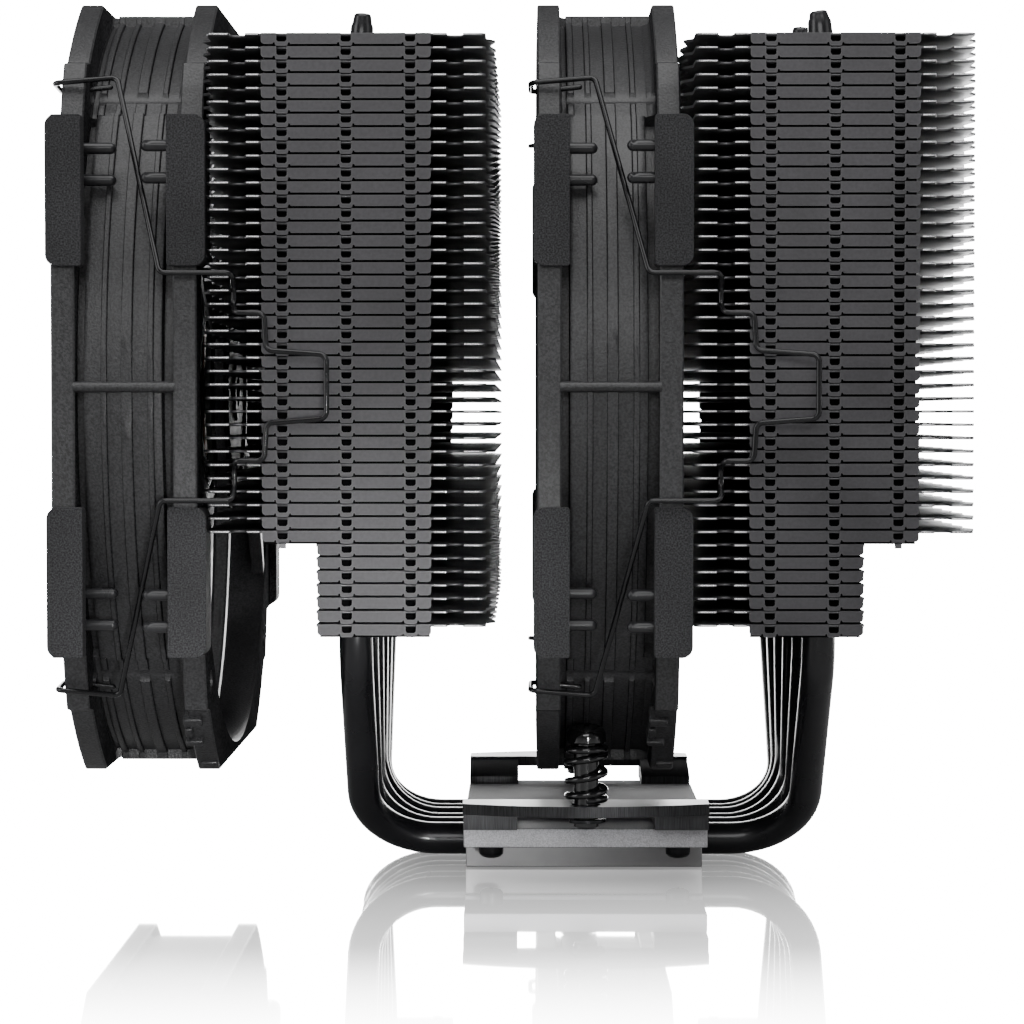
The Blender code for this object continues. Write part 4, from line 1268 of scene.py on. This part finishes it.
def floor():
    """White to the eye, with soft contact shadows and a mirror image that fades towards the camera."""
    made, tree, shader = node_material("studio_floor")
    shader.inputs["Base Color"].default_value = (0.4, 0.4, 0.4, 1.0)
    shader.inputs["Roughness"].default_value = 0.5
    occlusion = tree.nodes.new("ShaderNodeAmbientOcclusion")
    occlusion.samples = 8
    occlusion.inputs["Distance"].default_value = 22 * MM
    mirror = tree.nodes.new("ShaderNodeBsdfGlossy")
    mirror.inputs["Color"].default_value = (MIRROR_GAIN, MIRROR_GAIN, MIRROR_GAIN, 1.0)
    mirror.inputs["Roughness"].default_value = 0.03
    y = coordinate(tree, "Object")["Y"]

    def fade(start, end, low, high, kind="LINEAR"):
        return mapped(tree, y, start * MM, end * MM, low, high, kind)

    rising = fade(-215, -100, 0.1, 0.975, "SMOOTHSTEP")
    share = combined(tree, "MULTIPLY", rising, fade(-110, -35, 0.955, 1.0))
    view = tree.nodes.new("ShaderNodeNewGeometry")
    towards = tree.nodes.new("ShaderNodeSeparateXYZ")
    tree.links.new(view.outputs["Incoming"], towards.inputs["Vector"])
    from_front = mapped(tree, towards.outputs["Y"], -0.89, -0.95, 0.12, 1.0, "SMOOTHSTEP")
    shade = mapped(tree, occlusion.outputs["AO"], 0.0, 1.0, FLOOR_SHADE * WHITE, WHITE)
    mirrored = combined(tree, "MULTIPLY", share, from_front)
    seen = mixed(tree, mirrored, emission(tree, shade), mirror.outputs["BSDF"])
    beyond = emission(tree, WHITE / MIRROR_GAIN)
    lit = mixed(tree, fade(140, 420, 0.0, 1.0), shader.outputs["BSDF"], beyond)
    path = tree.nodes.new("ShaderNodeLightPath")
    choice = mixed(tree, path.outputs["Is Camera Ray"], lit, seen)
    tree.links.new(choice, tree.nodes["Material Output"].inputs["Surface"])
    bm = bmesh.new()
    bmesh.ops.create_grid(bm, x_segments=1, y_segments=1, size=6.0)
    plane = link("studio_floor", plain_mesh("studio_floor", bm))
    plane.data.materials.append(made)
    plane.location.z = -0.0002


def lamp(name, light, location, target):
    """Puts a light at a place, pointing at another."""
    made = link(name, light)
    made.location = location
    made.rotation_euler = (Vector(target) - Vector(location)).to_track_quat("-Z", "Y").to_euler()
    return made


def panel(name, location, size, power):
    light = bpy.data.lights.new(name, "AREA")
    light.shape = "RECTANGLE"
    light.size, light.size_y = size
    light.energy = power
    return lamp(name, light, location, LAMP_TARGET)


def world():
    """White behind the object and in the floor's mirror image, and a dim grey for everything else."""
    made = bpy.data.worlds.new("studio")
    bpy.context.scene.world = made
    made.use_nodes = True
    tree = made.node_tree
    background = tree.nodes["Background"]
    way = coordinate(tree, "Generated")

    def ramp(name, start, end):
        return mapped(tree, way[name], start, end, 0.0, 1.0)

    band = combined(tree, "MULTIPLY", ramp("Z", 0.34, 0.24), ramp("Z", -0.04, 0.0))
    backdrop = combined(tree, "MULTIPLY", ramp("Y", 0.9, 0.96), band)
    path = tree.nodes.new("ShaderNodeLightPath")
    dimmed = combined(tree, "DIVIDE", backdrop, MIRROR_GAIN)
    white = combined(tree, "MAXIMUM", dimmed, path.outputs["Is Camera Ray"])
    tree.links.new(mapped(tree, white, 0.0, 1.0, FILL, WHITE), background.inputs["Strength"])
    background.inputs["Color"].default_value = (1.0, 1.0, 1.0, 1.0)


def lights():
    panel("front_panel", (-0.05, -0.95, 0.42), (0.55, 0.3), 2.1)
    panel("top_panel", (0.0, -0.25, 0.75), (0.9, 0.6), 5.0)
    panel("left_panel", (-0.8, -0.35, 0.3), (0.4, 0.7), 2.5)
    panel("right_panel", (0.8, -0.35, 0.3), (0.4, 0.7), 0.9)
    beam = bpy.data.lights.new("duct_beam", "SPOT")
    beam.energy = 22.0
    beam.spot_size = math.radians(8)
    beam.spot_blend = 0.8
    beam.shadow_soft_size = 0.03
    lamp("duct_beam", beam, (0.13, -0.9, 0.02), (-0.07, 0.03, 0.035))
    panel("back_panel", (0.0, 0.8, 0.35), (1.0, 0.6), 5.0).visible_glossy = False


def camera():
    """Eye level on the towers' side, close enough to see the far fins shrink."""
    data = bpy.data.cameras.new("camera")
    data.sensor_width = 36.0
    data.lens = 104.0
    eye = link("camera", data)
    eye.location = (-0.0108, -0.580, 0.0857)
    eye.rotation_euler = Vector((-0.0051, 1.0, -0.0328)).to_track_quat("-Z", "Y").to_euler()
    bpy.context.scene.camera = eye


def main():
    ys = pipe_rows()
    fins_top = box_mm("front_tower_fins")[1].z
    for label, side in (("front", -1), ("rear", 1)):
        fin_stack(label, side, "tower_fins", FULL_FINS, fins_top, ys)
        fin_stack(label, side, "tower_lower_fins", SHORT_FINS, fins_top - FULL_FINS * PITCH, ys)
    for i in range(PIPES):
        heat_pipe(i, ys, fins_top)
    pipe_collars(ys, box_mm("heat_pipe_1")[1].x - PIPE_R, fins_top)
    cover_and_plate()
    for label, side in (("near", -1), ("far", 1)):
        drill_bracket(bracket(f"{label}_bracket", side), side)
        spring_screw(label)
        coil_spring(label)
        retaining_ring(label)
        for end in ("front", "rear"):
            pan_head(f"{label}_bracket_screw_{end}")
    for label in ("front", "middle"):
        fan(label)
    finish_inner_nodes()
    floor()
    world()
    lights()
    camera()


main()
